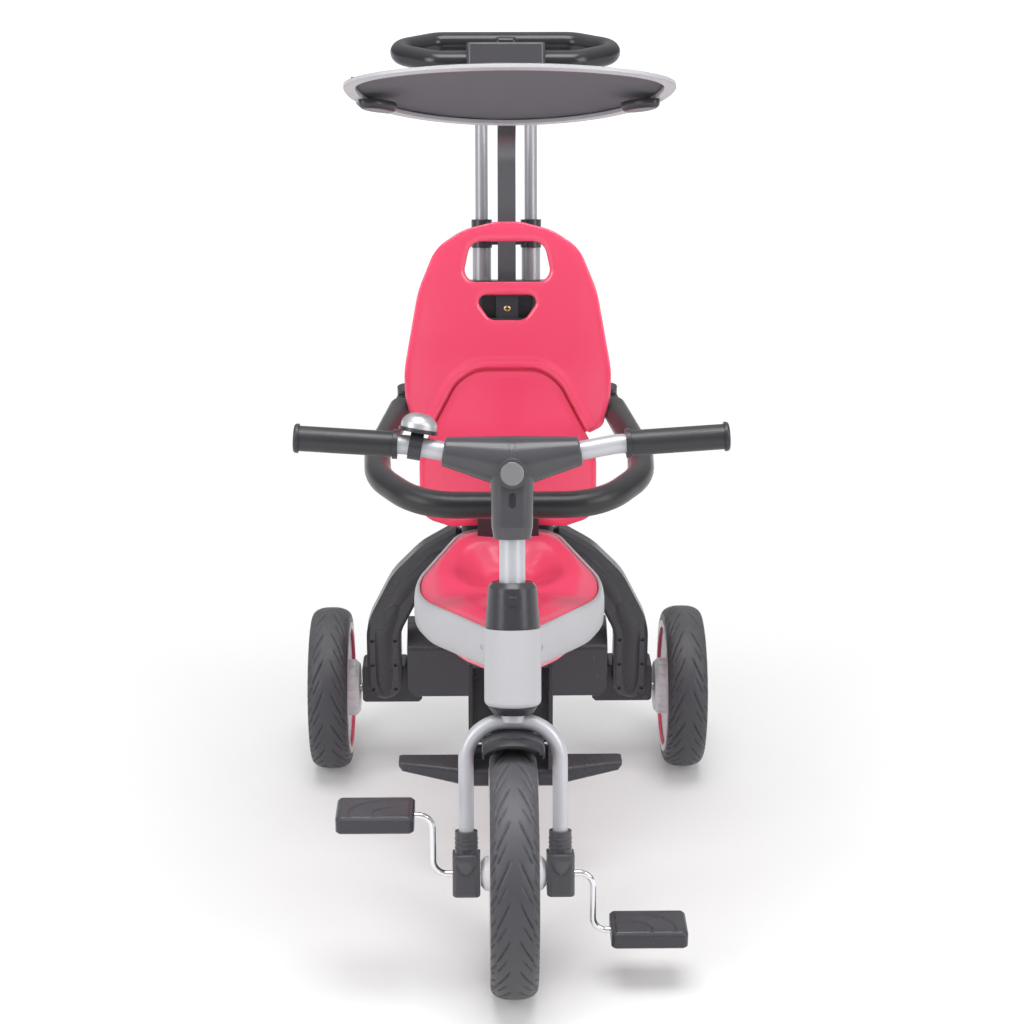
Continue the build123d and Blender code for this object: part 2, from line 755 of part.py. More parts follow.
def footrest():
    """Boomerang bar with tapered wings, hung on trunnions in the channel."""
    top = post_bottom - run
    middle = post_front + 2 + footrest_depth / 2
    root = post_width / 2

    def section(x, place, depth, thick):
        plane = Plane((x, place, top - thick / 2), x_dir=(0, 1, 0), z_dir=(1, 0, 0))
        return plane * RectangleRounded(depth, thick, thick * 0.3)

    centre = section(-root, middle, footrest_depth, footrest_thick)
    bar = extrude(centre, amount=2 * root)
    wing = loft([section(root, middle, footrest_depth, footrest_thick),
                 section(footrest_half - 4, middle + footrest_sweep, footrest_tip_depth, footrest_tip_thick),
                 section(footrest_half, middle + footrest_sweep, footrest_tip_depth - 6,
                         footrest_tip_thick - 5)],
                ruled=True)
    lug_width = post_width - 2 * post_wall - 2 * run
    lug_radius = footrest_pivot_inset - run
    lug = cross_rod(lug_radius, lug_width)
    neck = Box(lug_width, 2 * lug_radius, footrest_pivot_inset + run)
    lug += Pos(0, 0, -footrest_pivot_inset / 2 - run) * neck
    pins = cross_rod(footrest_pin_radius, post_width)
    return bar + wing + mirror(wing, about=mirror_plane) + pivot * lug + pivot * pins


save("footrest", footrest())

# Rear axle, its housing, the foot blocks and the arched legs
face_reach = tyre_width / 2 - rim_face_depth + hub_cap_height
axle_half = rear_track / 2 + face_reach
nut = Pos(axle_half - axle_nut_height / 2, 0, 0) * Rot(Y=90) * extrude(RegularPolygon(axle_nut_radius, 6),
                                                                      amount=axle_nut_height / 2, both=True)
axle_rod = cross_rod(axle_radius, 2 * axle_half) + nut + mirror(nut, about=mirror_plane)
save("rear_axle", rear_axle * axle_rod)
axle_room = rear_axle * cross_rod(axle_radius + fit, 2 * axle_half)
housing_top = housing_bottom + housing_height
housing_rear = housing_front + housing_depth
housing = side_prism([(housing_front, housing_bottom), (housing_front, housing_top),
                      (housing_front + housing_depth / 2, housing_top + housing_rise),
                      (housing_rear, housing_top + housing_rise), (housing_rear, housing_bottom)],
                     [4, 8, 8, 8, 4], housing_half)
corner = Pos(housing_half, 0, housing_bottom) * Rot(Y=45) * Box(housing_chamfer, 4 * far, housing_chamfer)
housing = housing - corner - mirror(corner, about=mirror_plane)
hollow = side_prism([(housing_front + housing_wall, housing_bottom - far),
                     (housing_front + housing_wall, housing_top - 2),
                     (housing_front + housing_depth / 2, housing_top + housing_rise - housing_wall - 2),
                     (housing_rear - housing_wall, housing_top + housing_rise - housing_wall - 2),
                     (housing_rear - housing_wall, housing_bottom - far)], 3, housing_half - housing_chamfer)
save("rear_axle_housing", housing - hollow - axle_room - beam_room)


def foot_block():
    inner = housing_half + run
    width = foot_outer - inner
    block = Pos(inner + width / 2, foot_front + foot_depth / 2, foot_bottom + foot_height / 2) * Box(
        width, foot_depth, foot_height)
    block = fillet(block.edges().filter_by(Axis.Y), 5)
    shelf = housing_bottom - run - foot_bottom
    tongue_width = inner - foot_inner + width / 2
    tongue = Pos(foot_inner + tongue_width / 2, foot_front + foot_depth / 2, foot_bottom + shelf / 2) * Box(
        tongue_width, foot_depth, shelf)
    tongue = chamfer(tongue.edges().filter_by(Axis.Y).sort_by(Axis.X)[0:2], 4)
    return block + tongue - axle_room


both("foot_block", foot_block())


def leg():
    """Arched arm from the foot block up to the socket behind the seat, open at the back."""
    top = push_socket_half + fit
    middle = FilletPolyline((leg_place, leg_low + leg_width / 2), (leg_place, leg_knee_height),
                            (leg_elbow_place, leg_elbow_height), (leg_shoulder_place, leg_shoulder_height),
                            (top - leg_wall, leg_top_height), radius=leg_bend)
    front_view = trace(middle, leg_width) + Pos(leg_place, leg_low + leg_width / 2) * Circle(leg_width / 2)
    front_view -= Pos(top - far / 2, far / 2) * Rectangle(far, 2 * far)
    rear = Pos(0, leg_front + leg_depth, 0)
    body = rear * extrude(Plane.XZ * front_view, amount=leg_depth)
    front_edges = body.faces().sort_by(Axis.Y)[0].edges()
    body = chamfer(front_edges, 4)
    pocket = extrude(Plane.XZ * offset(front_view, amount=-leg_wall), amount=leg_depth - leg_wall)
    body -= rear * pocket
    dimple = Rot(X=90) * Cylinder(leg_dimple_radius, 2 * leg_dimple_depth)
    for row in range(3):
        for side in (-1, 1):
            x = leg_place + side * leg_dimple_spread / 2
            body -= Pos(x, leg_front, leg_dimple_low + row * leg_dimple_pitch) * dimple
    return body


both("leg", leg())


# Seat: an egg-shaped band, a red pan with a bowl, and a boat-shaped underside
def seat_plan(inset):
    side = [(seat_nose_half, seat_nose), (seat_half, seat_widest), (seat_rear_half, seat_rear)]
    face = mirrored_face(side, [0, seat_side_round, seat_rear_round])
    if inset:
        face = offset(face, amount=-inset)
    return Pos(0, 0, hull_bottom / 2) * extrude(face, amount=far)


def seat_layer(top, bottom):
    """Prism across the seat between two lines, each raised or lowered from the band's edges."""
    nose, low, rear = band_nose_top, band_low_top, band_rear_top
    points = [(seat_nose - 20, nose + top), (seat_widest + 20, low + top), (seat_rear + 10, rear + top),
              (seat_rear + 10, rear - band_rear_height + bottom),
              (seat_widest + 20, low - band_low_height + bottom),
              (seat_nose - 20, nose - band_nose_height + bottom)]
    round_top = band_profile_round
    return side_prism(points, [0, round_top, 0, 0, round_top, 0], far)


head_clear = steer * Pos(0, 0, crown_top + far / 2) * Cylinder(sleeve_radius + fit, far)
block_room = Pos(0, block_front + far / 4, block_bottom + block_height / 2) * Box(
    block_width + 2 * fit, far / 2 + 2 * fit, block_height + 2 * fit)
band = (seat_plan(0) - seat_plan(band_wall)) & seat_layer(0, 0)
save("seat_band", (band - head_clear - block_room - beam_room).solids().sort_by(SortBy.VOLUME)[-1])

bowl_rim = band_low_top + pan_crown + (band_rear_top - band_low_top) * (bowl_place - seat_widest) / (
    seat_rear - seat_widest)
bowl_centre = Pos(0, bowl_place, bowl_rim - bowl_depth + bowl_radius)
pan_inset = band_wall + fit
pan_form = seat_plan(pan_inset) & seat_layer(pan_crown, band_low_height - pan_skirt)
pan_under = seat_plan(pan_inset + pan_wall) & seat_layer(pan_crown - pan_wall, -far / 4)
pan_under -= bowl_centre * Sphere(bowl_radius + pan_wall)
seat_pan = pan_form - bowl_centre * Sphere(bowl_radius) - pan_under - head_clear - block_room - beam_room
save("seat_pan", seat_pan.solids().sort_by(SortBy.VOLUME)[-1])


def hull(inset):
    """Boat-shaped form under the band: flat keel, sloping bilges, rising bow."""
    keel = hull_bottom + inset
    rise = tan(radians(hull_slope)) * (seat_half - hull_flat_half)
    bilge = make_face(Polyline((-hull_flat_half, keel), (hull_flat_half, keel), (seat_half, keel + rise),
                               (seat_half, far + keel), (-seat_half, far + keel), (-seat_half, keel + rise),
                               close=True))
    bilge = Pos(0, seat_rear, 0) * extrude(Plane.XZ * bilge, amount=seat_rear)
    bow = side_prism([(seat_nose - 20, far), (seat_nose - 20, band_nose_top - band_nose_height - 6 + inset),
                      (seat_nose + hull_bow, keel), (seat_rear - 20, keel), (seat_rear + 10, far)], 0, far)
    return seat_plan(hull_inset + inset) & bilge & bow


top_of_hull = side_prism([(0, far * 2), (0, band_nose_top - band_nose_height + 20 - fit),
                          (seat_nose - 20, band_nose_top - band_nose_height - fit),
                          (seat_widest + 20, band_low_top - band_low_height - fit),
                          (seat_rear + 10, band_rear_top - band_rear_height - fit),
                          (seat_rear + 10, far * 2)],
                         [0, 0, 0, band_profile_round, 0, 0], far)
underside = hull(0) - hull(hull_wall) - top_of_hull - beam_room - head_clear
save("seat_underside", underside.solids().sort_by(SortBy.VOLUME)[-1])

# Seat back: two curved shells in one surface, the upper one arched round the lower one
lower_side = [(lower_half - 35, lower_foot), (lower_half, lower_foot + 14), (lower_half, lower_height / 2),
              (lower_arch_half, lower_height - lower_arch_drop), (lower_arch_half - 21, lower_height)]
lower_outline = mirrored_face(lower_side, [20, 26, 60, 40, 40])
upper_side = [(upper_half - 23, lobe_height), (upper_half - 9, lobe_height + 8),
              (upper_half - 1, lobe_height + 43), (upper_half, upper_height - 168),
              (upper_half - 16, upper_height - 78), (upper_half - 36, upper_height - 29),
              (upper_half - 67, upper_height - 9), (upper_half - 103, upper_height)]
upper_outline = mirrored_face(upper_side, [5, 12, 30, 120, 120, 50, 60, 60])
upper_outline -= offset(lower_outline, amount=back_gap)


def tapered_hole(low_half, high_half, low, height, low_round, high_round):
    """Outline of a hole with slanted sides and rounded corners."""
    return mirrored_face([(low_half, low), (high_half, low + height)], [low_round, high_round])


grip_hole = tapered_hole(grip_hole_width / 2, grip_hole_width / 2 - grip_hole_taper, grip_hole_low,
                         grip_hole_height, 9, 16)
view_hole = tapered_hole(view_hole_width / 2 - view_hole_taper, view_hole_width / 2, view_hole_low,
                         view_hole_height, 10, 7)
front_space = Pos(0, lower_height, back_round) * Rot(X=90) * Cylinder(back_round, 4 * far)
back_space = Pos(0, lower_height, back_round) * Rot(X=90) * Cylinder(back_round + back_wall, 4 * far)
behind_shell = back * back_space


def back_shell(outline):
    slab = Pos(0, 0, -2 * back_wall) * extrude(outline, amount=far / 4)
    return slab & (back_space - front_space)


seat_block = Box(block_width, far / 4, block_height)
seat_block = Pos(0, block_front + far / 8, block_bottom + block_height / 2) * seat_block
socket = rounded_box(2 * push_socket_half, push_socket_depth, push_socket_height, push_socket_corner)
socket = fillet(socket.edges().group_by(Axis.Z)[-1], push_socket_corner - 2)
socket = Pos(0, 0, push_socket_low + push_socket_height / 2) * socket
lower_panel = back * back_shell(lower_outline) - block_room
save("lower_back_panel", lower_panel)
save("upper_back_panel", back * back_shell(upper_outline - grip_hole - view_hole))
socket_room = push * Pos(0, far / 2, 0) * Box(far, far + push_socket_depth + 2 * fit, far)
save("seat_block", (seat_block - socket_room).solids().sort_by(Axis.Y)[0])

# Push bar: fixed outer tubes in a socket, sliding inner tubes, ring handle with a button
bar_seat = outer_length - inner_overlap + inner_length
tube_room = Cylinder(outer_radius + fit, far * 2, align=(Align.CENTER, Align.CENTER, Align.MIN))
tube_rooms = Pos(push_half, 0, 0) * tube_room + Pos(-push_half, 0, 0) * tube_room
save("tube_socket", push * (socket - tube_rooms))


def straight_tube(radius, wall, low, length):
    return Pos(push_half, 0, low + length / 2) * (Cylinder(radius, length) - Cylinder(radius - wall, length))


save("outer_tubes", push * pair(straight_tube(outer_radius, outer_wall, 0, outer_length)))
inner_low = outer_length - inner_overlap
inner_top = bar_seat - handle_radius - 4
save("inner_tubes", push * pair(straight_tube(inner_radius, inner_wall, inner_low, inner_top - inner_low)))
clamp_top = outer_length + clamp_cap
collar_form = Pos(push_half, 0, clamp_top - clamp_height / 2) * Cylinder(clamp_radius, clamp_height)
bridge = Pos(0, 0, clamp_top - clamp_height * 0.6) * Box(2 * push_half, clamp_bridge, clamp_height * 0.6)
clamp = collar_form + mirror(collar_form, about=mirror_plane) + bridge
clamp -= tube_rooms & Pos(0, 0, outer_length + fit - far / 2) * Box(far, far, far)
slide_bore = Pos(push_half, 0, outer_length) * Cylinder(inner_radius + shaft_play, far)
save("tube_clamp", push * (clamp - slide_bore - mirror(slide_bore, about=mirror_plane)))
handle = push * Pos(0, 0, bar_seat) * Rot(X=push_lean + handle_tilt)
handle_points = [(handle_flat, 0), (handle_half, handle_depth / 2), (handle_flat, handle_depth)]
handle_round = [handle_bend, handle_side_bend, handle_bend]
handle_path = FilletPolyline(*mirrored(handle_points), radius=2 * handle_round, close=True)
save("push_handle", handle * rod(handle_path, handle_radius))
connector_low = inner_top - 12
connector_top = bar_seat + handle_radius + button_travel + connector_crown
connector = Pos(0, 0, (connector_low + connector_top) / 2) * rounded_box(
    connector_width, connector_depth, connector_top - connector_low, connector_corner)
connector = fillet(connector.edges().group_by(Axis.Z)[-1], 3)
connector -= pair(Pos(push_half, 0, inner_top - far / 2) * Cylinder(inner_radius + fit, far))
button_low = connector_top - button_sink
button_room = extrude(RectangleRounded(button_width + 2 * run, button_depth + 2 * run, button_round),
                      amount=far)
connector -= Pos(0, 0, button_low - button_travel - run) * button_room
save("handle_connector", push * connector - handle * rod(handle_path, handle_radius + fit))
button_form = RectangleRounded(button_width, button_depth, button_round)
button = extrude(button_form, amount=button_sink + button_proud)
button = fillet(button.edges().group_by(Axis.Z)[-1], 6)
save("handle_button", push * Pos(0, 0, button_low) * button)

# Canopy: mast, bow with hinge pins, knobs, rim and a crowned cloth
yoke_at = (canopy * Pos(0, yoke_rear, hinge_lift)).position
mast_path = FilletPolyline((0, mast_foot_place, mast_foot_height), (0, mast_elbow_place, mast_elbow_height),
                           (0, yoke_at.Y, yoke_at.Z), radius=mast_bend)


def mast(grow):
    start = Plane(mast_path @ 0, x_dir=(1, 0, 0), z_dir=mast_path % 0)
    return sweep(start * Rectangle(mast_width + 2 * grow, mast_thick + 2 * grow), path=mast_path)


save("canopy_mast", mast(0))
bracket_middle = (bracket_plate_low - push_foot) / cos(radians(push_lean)) + bracket_plate_height / 2
bracket_form = push * Pos(0, -bracket_plate_ahead, bracket_middle) * rounded_box(
    bracket_plate_width, bracket_plate_depth, bracket_plate_height, 6)
pocket_height = view_hole_height - 4
pocket_at = back * Pos(0, view_hole_low + view_hole_height / 2, -back_wall)
pocket = pocket_at * Box(view_hole_width - view_hole_taper, pocket_height, 2 * bracket_pocket_depth)
boss = pocket_at * Pos(0, 0, -bracket_boss_drop - far / 2) * Box(bracket_boss_width, far, far)
bracket_form = bracket_form - behind_shell - (pocket - boss) - push * tube_rooms - mast(fit)
save("back_bracket", bracket_form.solids().sort_by(SortBy.VOLUME)[-1])


def oval(inset):
    """Egg-shaped outline, longer behind its widest line than before it."""
    strip = Rectangle(4 * far, 2 * far)
    front = Ellipse(canopy_half - inset, canopy_front - inset) & Pos(0, -far) * strip
    rear = Ellipse(canopy_half - inset, canopy_rear - inset) & Pos(0, far) * strip
    return front + rear


bolt_room = Pos(clip_place, clip_rear, 0) * Cylinder(clip_bolt_radius + fit, far)
bolt_rooms = bolt_room + mirror(bolt_room, about=mirror_plane)
rim_ring = extrude(oval(0) - oval(rim_width), amount=rim_thick / 2, both=True)
save("canopy_rim", canopy * (rim_ring - bolt_rooms))
cloth_middle = (canopy_rear - canopy_front) / 2
widest = sqrt(canopy_half ** 2 + cloth_middle ** 2)
dome_radius = widest ** 2 / (2 * cloth_crown)
dome_place = Pos(0, cloth_middle, rim_thick / 2 + cloth_thick + cloth_crown - dome_radius)
cloth_slab = Pos(0, 0, rim_thick / 2 + fit) * extrude(oval(0), amount=far / 8)
cloth = (cloth_slab & dome_place * Sphere(dome_radius)) - dome_place * Sphere(dome_radius - cloth_thick)
save("canopy_cloth", canopy * (cloth - bolt_rooms))
clip_foot = -rim_thick / 2 - fit
cloth_top = rim_thick / 2 + cloth_thick + cloth_crown / 3
knob_oval = Rot(Z=-knob_turn) * Ellipse(knob_length / 2, knob_width / 2)
knob = Pos(knob_place, 0, clip_foot) * extrude(knob_oval, amount=-knob_height)
knob = fillet(knob.edges().group_by(Axis.Z)[0], knob_round)
bolt = Pos(clip_place, 0, (clip_foot + hinge_lift) / 2) * Cylinder(clip_bolt_radius, hinge_lift - clip_foot)
lug_form = Pos(clip_place, 0, hinge_lift) * cross_rod(hinge_lug_radius, clip_lug)
lug_foot = Box(clip_lug, 2 * hinge_lug_radius, hinge_lift - cloth_top)
lug_form += Pos(clip_place, 0, (cloth_top + hinge_lift) / 2) * lug_foot
pin_room = Pos(clip_place, 0, hinge_lift) * cross_rod(hinge_pin_radius + shaft_play, 2 * clip_lug)
clip = knob + bolt + lug_form - pin_room
save("canopy_clips", canopy * Pos(0, clip_rear, 0) * pair(clip))
arm_place = clip_place + clip_lug / 2 + run + yoke_thick / 2
yoke_path = FilletPolyline(*mirrored([(arm_place, clip_rear), (arm_place, yoke_rear)]), radius=yoke_bend)
yoke_section = Plane(yoke_path @ 0, x_dir=(1, 0, 0), z_dir=yoke_path % 0) * Rectangle(yoke_thick, yoke_height)
yoke = sweep(yoke_section, path=yoke_path)
pin_length = clip_lug + run + yoke_thick / 2
pin = Pos(arm_place, clip_rear, 0) * (cross_rod(hinge_lug_radius, yoke_thick)
                                      + Pos(-pin_length / 2, 0, 0) * cross_rod(hinge_pin_radius, pin_length))
yoke += pin + mirror(pin, about=mirror_plane)
yoke += Pos(0, yoke_rear, 0) * Box(yoke_block_width, yoke_block_depth, yoke_block_height)
yoke = canopy * Pos(0, 0, hinge_lift) * yoke - mast(fit)
save("canopy_yoke", yoke.solids().sort_by(SortBy.VOLUME)[-1])

# Guard ring in two foam-covered halves, hinged behind the seat back
pin_y = (guard_pin_place - guard_front) / cos(radians(guard_slope))
rear_y = pin_y - guard_hinge_reach
arm_turn = (guard_pin_half - guard_rear_half, pin_y - rear_y)
arm_length = sqrt(arm_turn[0] ** 2 + arm_turn[1] ** 2)
inward = (arm_turn[0] / arm_length, arm_turn[1] / arm_length)
tube_end = (guard_pin_half - guard_knuckle * inward[0], pin_y - guard_knuckle * inward[1])
arm_path = FilletPolyline((run / 2, 0), (guard_corner_half, 0), (guard_half, guard_corner_place),
                          (guard_rear_half, rear_y), tube_end,
                          radius=[guard_bend, guard_bend, guard_rear_bend])
tongue_plane = Plane((guard_pin_half, pin_y, 0), x_dir=(inward[0], inward[1], 0), z_dir=(0, 0, 1)).location
tongue = Box(guard_knuckle + 4, 2 * guard_boss_radius - 4, guard_boss_height)
tongue = Pos(-guard_knuckle / 2 - 2, 0, 0) * tongue + Cylinder(guard_boss_radius, guard_boss_height)
guard_arm = rod(arm_path, guard_radius) + tongue_plane * tongue
guard_arm -= tongue_plane * Cylinder(guard_pin_radius + shaft_play, far)
both("guard_arm", guard * guard_arm)
lug_mid = guard_boss_height / 2 + run + guard_lug / 2
lug_plane = Plane((guard_pin_half, pin_y, 0), z_dir=(0, 0, 1)).location * Rot(Z=-guard_lug_turn)
plate = Pos(guard_lug_reach / 2, 0, 0) * Box(guard_lug_reach, guard_lug_width, guard_lug)
plate += Cylinder(guard_boss_radius, guard_lug)
web = Pos((guard_web_start + guard_lug_reach) / 2, 0, 0) * Box(guard_lug_reach - guard_web_start,
                                                               guard_lug_width, 2 * lug_mid)
guard_hinge = Pos(0, 0, lug_mid) * plate + Pos(0, 0, -lug_mid) * plate + web
guard_hinge += Cylinder(guard_pin_radius, 2 * lug_mid)
guard_hinge = guard * lug_plane * guard_hinge - behind_shell
save("guard_hinges", pair(guard_hinge.solids().sort_by(SortBy.VOLUME)[-1]))
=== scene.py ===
from math import asin, ceil, cos, pi, radians, sin, sqrt, tan

import bmesh
import bpy
from mathutils import Matrix, Vector
from mathutils.geometry import tessellate_polygon


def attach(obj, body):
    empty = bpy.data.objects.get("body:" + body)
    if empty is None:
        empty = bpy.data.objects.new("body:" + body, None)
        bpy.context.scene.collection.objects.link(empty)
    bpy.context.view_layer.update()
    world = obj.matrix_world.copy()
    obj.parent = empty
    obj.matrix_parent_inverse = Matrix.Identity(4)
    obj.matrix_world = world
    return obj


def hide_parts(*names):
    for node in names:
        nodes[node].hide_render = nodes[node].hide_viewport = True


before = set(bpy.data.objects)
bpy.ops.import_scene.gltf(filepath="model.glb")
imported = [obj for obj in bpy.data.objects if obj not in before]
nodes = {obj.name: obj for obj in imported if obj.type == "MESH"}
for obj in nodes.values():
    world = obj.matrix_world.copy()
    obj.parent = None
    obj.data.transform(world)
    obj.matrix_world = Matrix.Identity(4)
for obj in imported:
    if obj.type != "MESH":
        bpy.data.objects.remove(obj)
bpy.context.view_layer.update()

MM = 0.001
weld_distance = 1e-6

# Places shared with the solids, in millimetres, with the front axle at zero along the tricycle
centre_shift = -289.169
front_radius = 125.0
rear_radius = 100.0
wheelbase = 520.0
rear_track = 436.0
rake = 15.0


def place(x, y, z):
    """A point given from the front axle and the ground, in metres in the shared frame."""
    return Vector((x, y + centre_shift, z)) * MM


def tilted(x, y, z, turn):
    """A frame at a point, turned about the cross axis by an angle in degrees."""
    return Matrix.Translation(place(x, y, z)) @ Matrix.Rotation(radians(turn), 4, "X")


# Shared surface effects
def effect(name, inputs, outputs):
    """An empty shader node group with its sockets; a number is the socket's first value."""
    tree = bpy.data.node_groups.new(name, "ShaderNodeTree")
    for label, value in inputs:
        socket = tree.interface.new_socket(label, in_out="INPUT", socket_type="NodeSocketFloat")
        socket.default_value = value
    for label in outputs:
        tree.interface.new_socket(label, in_out="OUTPUT", socket_type="NodeSocketFloat")
    return tree, tree.nodes.new("NodeGroupInput"), tree.nodes.new("NodeGroupOutput")


def put(tree, kind, wires=(), **settings):
    """A node with its settings, and wires from other sockets to its inputs by name or number."""
    node = tree.nodes.new(kind)
    for key, value in settings.items():
        setattr(node, key, value)
    for key, source in wires:
        if isinstance(source, bpy.types.NodeSocket):
            tree.links.new(source, node.inputs[key])
        else:
            node.inputs[key].default_value = source
    return node


def sums(tree, operation, first, second, clamp=False):
    """The output of a maths node on two values."""
    node = put(tree, "ShaderNodeMath", [(0, first), (1, second)], operation=operation)
    node.use_clamp = clamp
    return node.outputs[0]


def moulded_grain():
    """Fine pebbled skin of moulded plastic, as a height and as a speckle."""
    tree, given, made = effect("moulded_grain", [("Scale", 900.0), ("Softness", 0.5)], ["Height", "Speckle"])
    where = put(tree, "ShaderNodeTexCoord").outputs["Object"]
    pebbles = put(tree, "ShaderNodeTexVoronoi", [("Vector", where), ("Scale", given.outputs["Scale"])],
                  feature="SMOOTH_F1")
    tree.links.new(given.outputs["Softness"], pebbles.inputs["Smoothness"])
    mist = put(tree, "ShaderNodeTexNoise", [("Vector", where), ("Scale", given.outputs["Scale"]), ("Detail", 3.0)])
    tree.links.new(sums(tree, "ADD", pebbles.outputs["Distance"], mist.outputs["Fac"]), made.inputs["Height"])
    tree.links.new(mist.outputs["Fac"], made.inputs["Speckle"])
    return tree


def tone_drift():
    """Slow change of tone over a surface, from zero to one."""
    tree, given, made = effect("tone_drift", [("Scale", 7.0), ("Contrast", 1.6)], ["Drift"])
    where = put(tree, "ShaderNodeTexCoord").outputs["Object"]
    cloud = put(tree, "ShaderNodeTexNoise", [("Vector", where), ("Scale", given.outputs["Scale"]), ("Detail", 4.0)])
    centred = sums(tree, "SUBTRACT", cloud.outputs["Fac"], 0.5)
    spread = sums(tree, "MULTIPLY", centred, given.outputs["Contrast"])
    tree.links.new(sums(tree, "ADD", spread, 0.5, clamp=True), made.inputs["Drift"])
    return tree


def handling_marks():
    """Fine rubbed streaks and smudges from handling, from zero to one."""
    tree, given, made = effect("handling_marks", [("Scale", 60.0), ("Amount", 0.5)], ["Marks"])
    where = put(tree, "ShaderNodeTexCoord").outputs["Object"]
    drawn = put(tree, "ShaderNodeMapping", [("Vector", where), ("Scale", (1.0, 0.16, 0.5)),
                                            ("Rotation", (0.4, 0.7, 0.2))])
    streaks = put(tree, "ShaderNodeTexNoise", [("Vector", drawn.outputs[0]), ("Scale", given.outputs["Scale"]),
                                               ("Detail", 6.0), ("Roughness", 0.62)])
    smudges = put(tree, "ShaderNodeTexNoise", [("Vector", where), ("Scale", 14.0), ("Detail", 2.0)])
    fine = put(tree, "ShaderNodeMapRange", [("Value", streaks.outputs["Fac"]), ("From Min", 0.56),
                                            ("From Max", 0.72)])
    broad = put(tree, "ShaderNodeMapRange", [("Value", smudges.outputs["Fac"]), ("From Min", 0.45),
                                             ("From Max", 0.7)])
    both = sums(tree, "ADD", sums(tree, "MULTIPLY", fine.outputs[0], 0.6), broad.outputs[0])
    tree.links.new(sums(tree, "MULTIPLY", both, given.outputs["Amount"], clamp=True), made.inputs["Marks"])
    return tree


def settled_dust():
    """Thin dust on faces that look up, broken by noise."""
    tree, given, made = effect("settled_dust", [("Amount", 0.2)], ["Dust"])
    where = put(tree, "ShaderNodeTexCoord").outputs["Object"]
    facing = put(tree, "ShaderNodeSeparateXYZ", [(0, put(tree, "ShaderNodeNewGeometry").outputs["Normal"])])
    upward = put(tree, "ShaderNodeMapRange", [("Value", facing.outputs["Z"]), ("From Min", 0.35), ("From Max", 1.0)])
    cloud = put(tree, "ShaderNodeTexNoise", [("Vector", where), ("Scale", 34.0), ("Detail", 7.0)])
    lying = sums(tree, "MULTIPLY", upward.outputs[0], cloud.outputs["Fac"])
    tree.links.new(sums(tree, "MULTIPLY", lying, given.outputs["Amount"], clamp=True), made.inputs["Dust"])
    return tree


def plain_weave():
    """Over-and-under threads in two directions, as a height and a thread tone."""
    tree, given, made = effect("plain_weave", [("Threads", 900.0)], ["Height", "Tone"])
    where = put(tree, "ShaderNodeTexCoord").outputs["Object"]
    heights = []
    for direction in ("X", "Y"):
        wave = put(tree, "ShaderNodeTexWave", [("Vector", where), ("Scale", given.outputs["Threads"]),
                                               ("Distortion", 0.6), ("Detail", 1.0)], bands_direction=direction)
        heights.append(wave.outputs["Fac"])
    crossed = sums(tree, "MULTIPLY", heights[0], heights[1])
    slub = put(tree, "ShaderNodeTexNoise", [("Vector", where), ("Scale", 260.0), ("Detail", 5.0)])
    threads = sums(tree, "ADD", crossed, slub.outputs["Fac"])
    tree.links.new(threads, made.inputs["Height"])
    tree.links.new(sums(tree, "MULTIPLY", threads, 0.5), made.inputs["Tone"])
    return tree


effects = {make.__name__: make() for make in (moulded_grain, tone_drift, handling_marks, settled_dust, plain_weave)}


def use(tree, name, **values):
    """A shared effect placed in a material with its own values."""
    node = tree.nodes.new("ShaderNodeGroup")
    node.node_tree = effects[name]
    for key, value in values.items():
        node.inputs[key].default_value = value
    return node


# Numbers of a colour mix's two inputs and of its output
mix_first, mix_second, mix_result = 6, 7, 2


def blend(tree, share, first, second):
    """A colour between two others."""
    wires = [("Factor", share), (mix_first, first), (mix_second, second)]
    return put(tree, "ShaderNodeMix", wires, data_type="RGBA").outputs[mix_result]


dust_colour = (0.40, 0.40, 0.42, 1.0)
bump_height = 0.0004


def finish(name, dark, light, rough, grain=900.0, depth=0.12, marks=0.4, dust=0.1, woven=0.0, edge=1.0, **fixed):
    """A material whose colour drifts between two tones, with grain, handling marks and a little dust."""
    material = bpy.data.materials.new(name)
    material.use_nodes = True
    tree = material.node_tree
    tree.nodes.clear()
    out = tree.nodes.new("ShaderNodeOutputMaterial")
    shader = put(tree, "ShaderNodeBsdfPrincipled")
    tree.links.new(shader.outputs[0], out.inputs["Surface"])
    tone = use(tree, "tone_drift").outputs["Drift"]
    skin = use(tree, "plain_weave", Threads=woven) if woven else use(tree, "moulded_grain", Scale=grain)
    speckle = skin.outputs["Tone" if woven else "Speckle"]
    body = blend(tree, tone, (*dark, 1.0), (*light, 1.0))
    speckled = blend(tree, speckle, body, (*light, 1.0))
    lying = use(tree, "settled_dust", Amount=dust).outputs["Dust"]
    tree.links.new(blend(tree, lying, speckled, dust_colour), shader.inputs["Base Color"])
    worn = use(tree, "handling_marks", Amount=marks).outputs["Marks"]
    gloss = put(tree, "ShaderNodeMapRange", [("Value", worn), ("To Min", rough[0]), ("To Max", rough[1])])
    tree.links.new(gloss.outputs[0], shader.inputs["Roughness"])
    soft = put(tree, "ShaderNodeBevel", [("Radius", edge * MM)], samples=4)
    bump = put(tree, "ShaderNodeBump", [("Height", skin.outputs["Height"]), ("Strength", depth),
                                        ("Distance", bump_height), ("Normal", soft.outputs[0])])
    tree.links.new(bump.outputs[0], shader.inputs["Normal"])
    for key, value in fixed.items():
        shader.inputs[key.replace("_", " ")].default_value = value
    return material


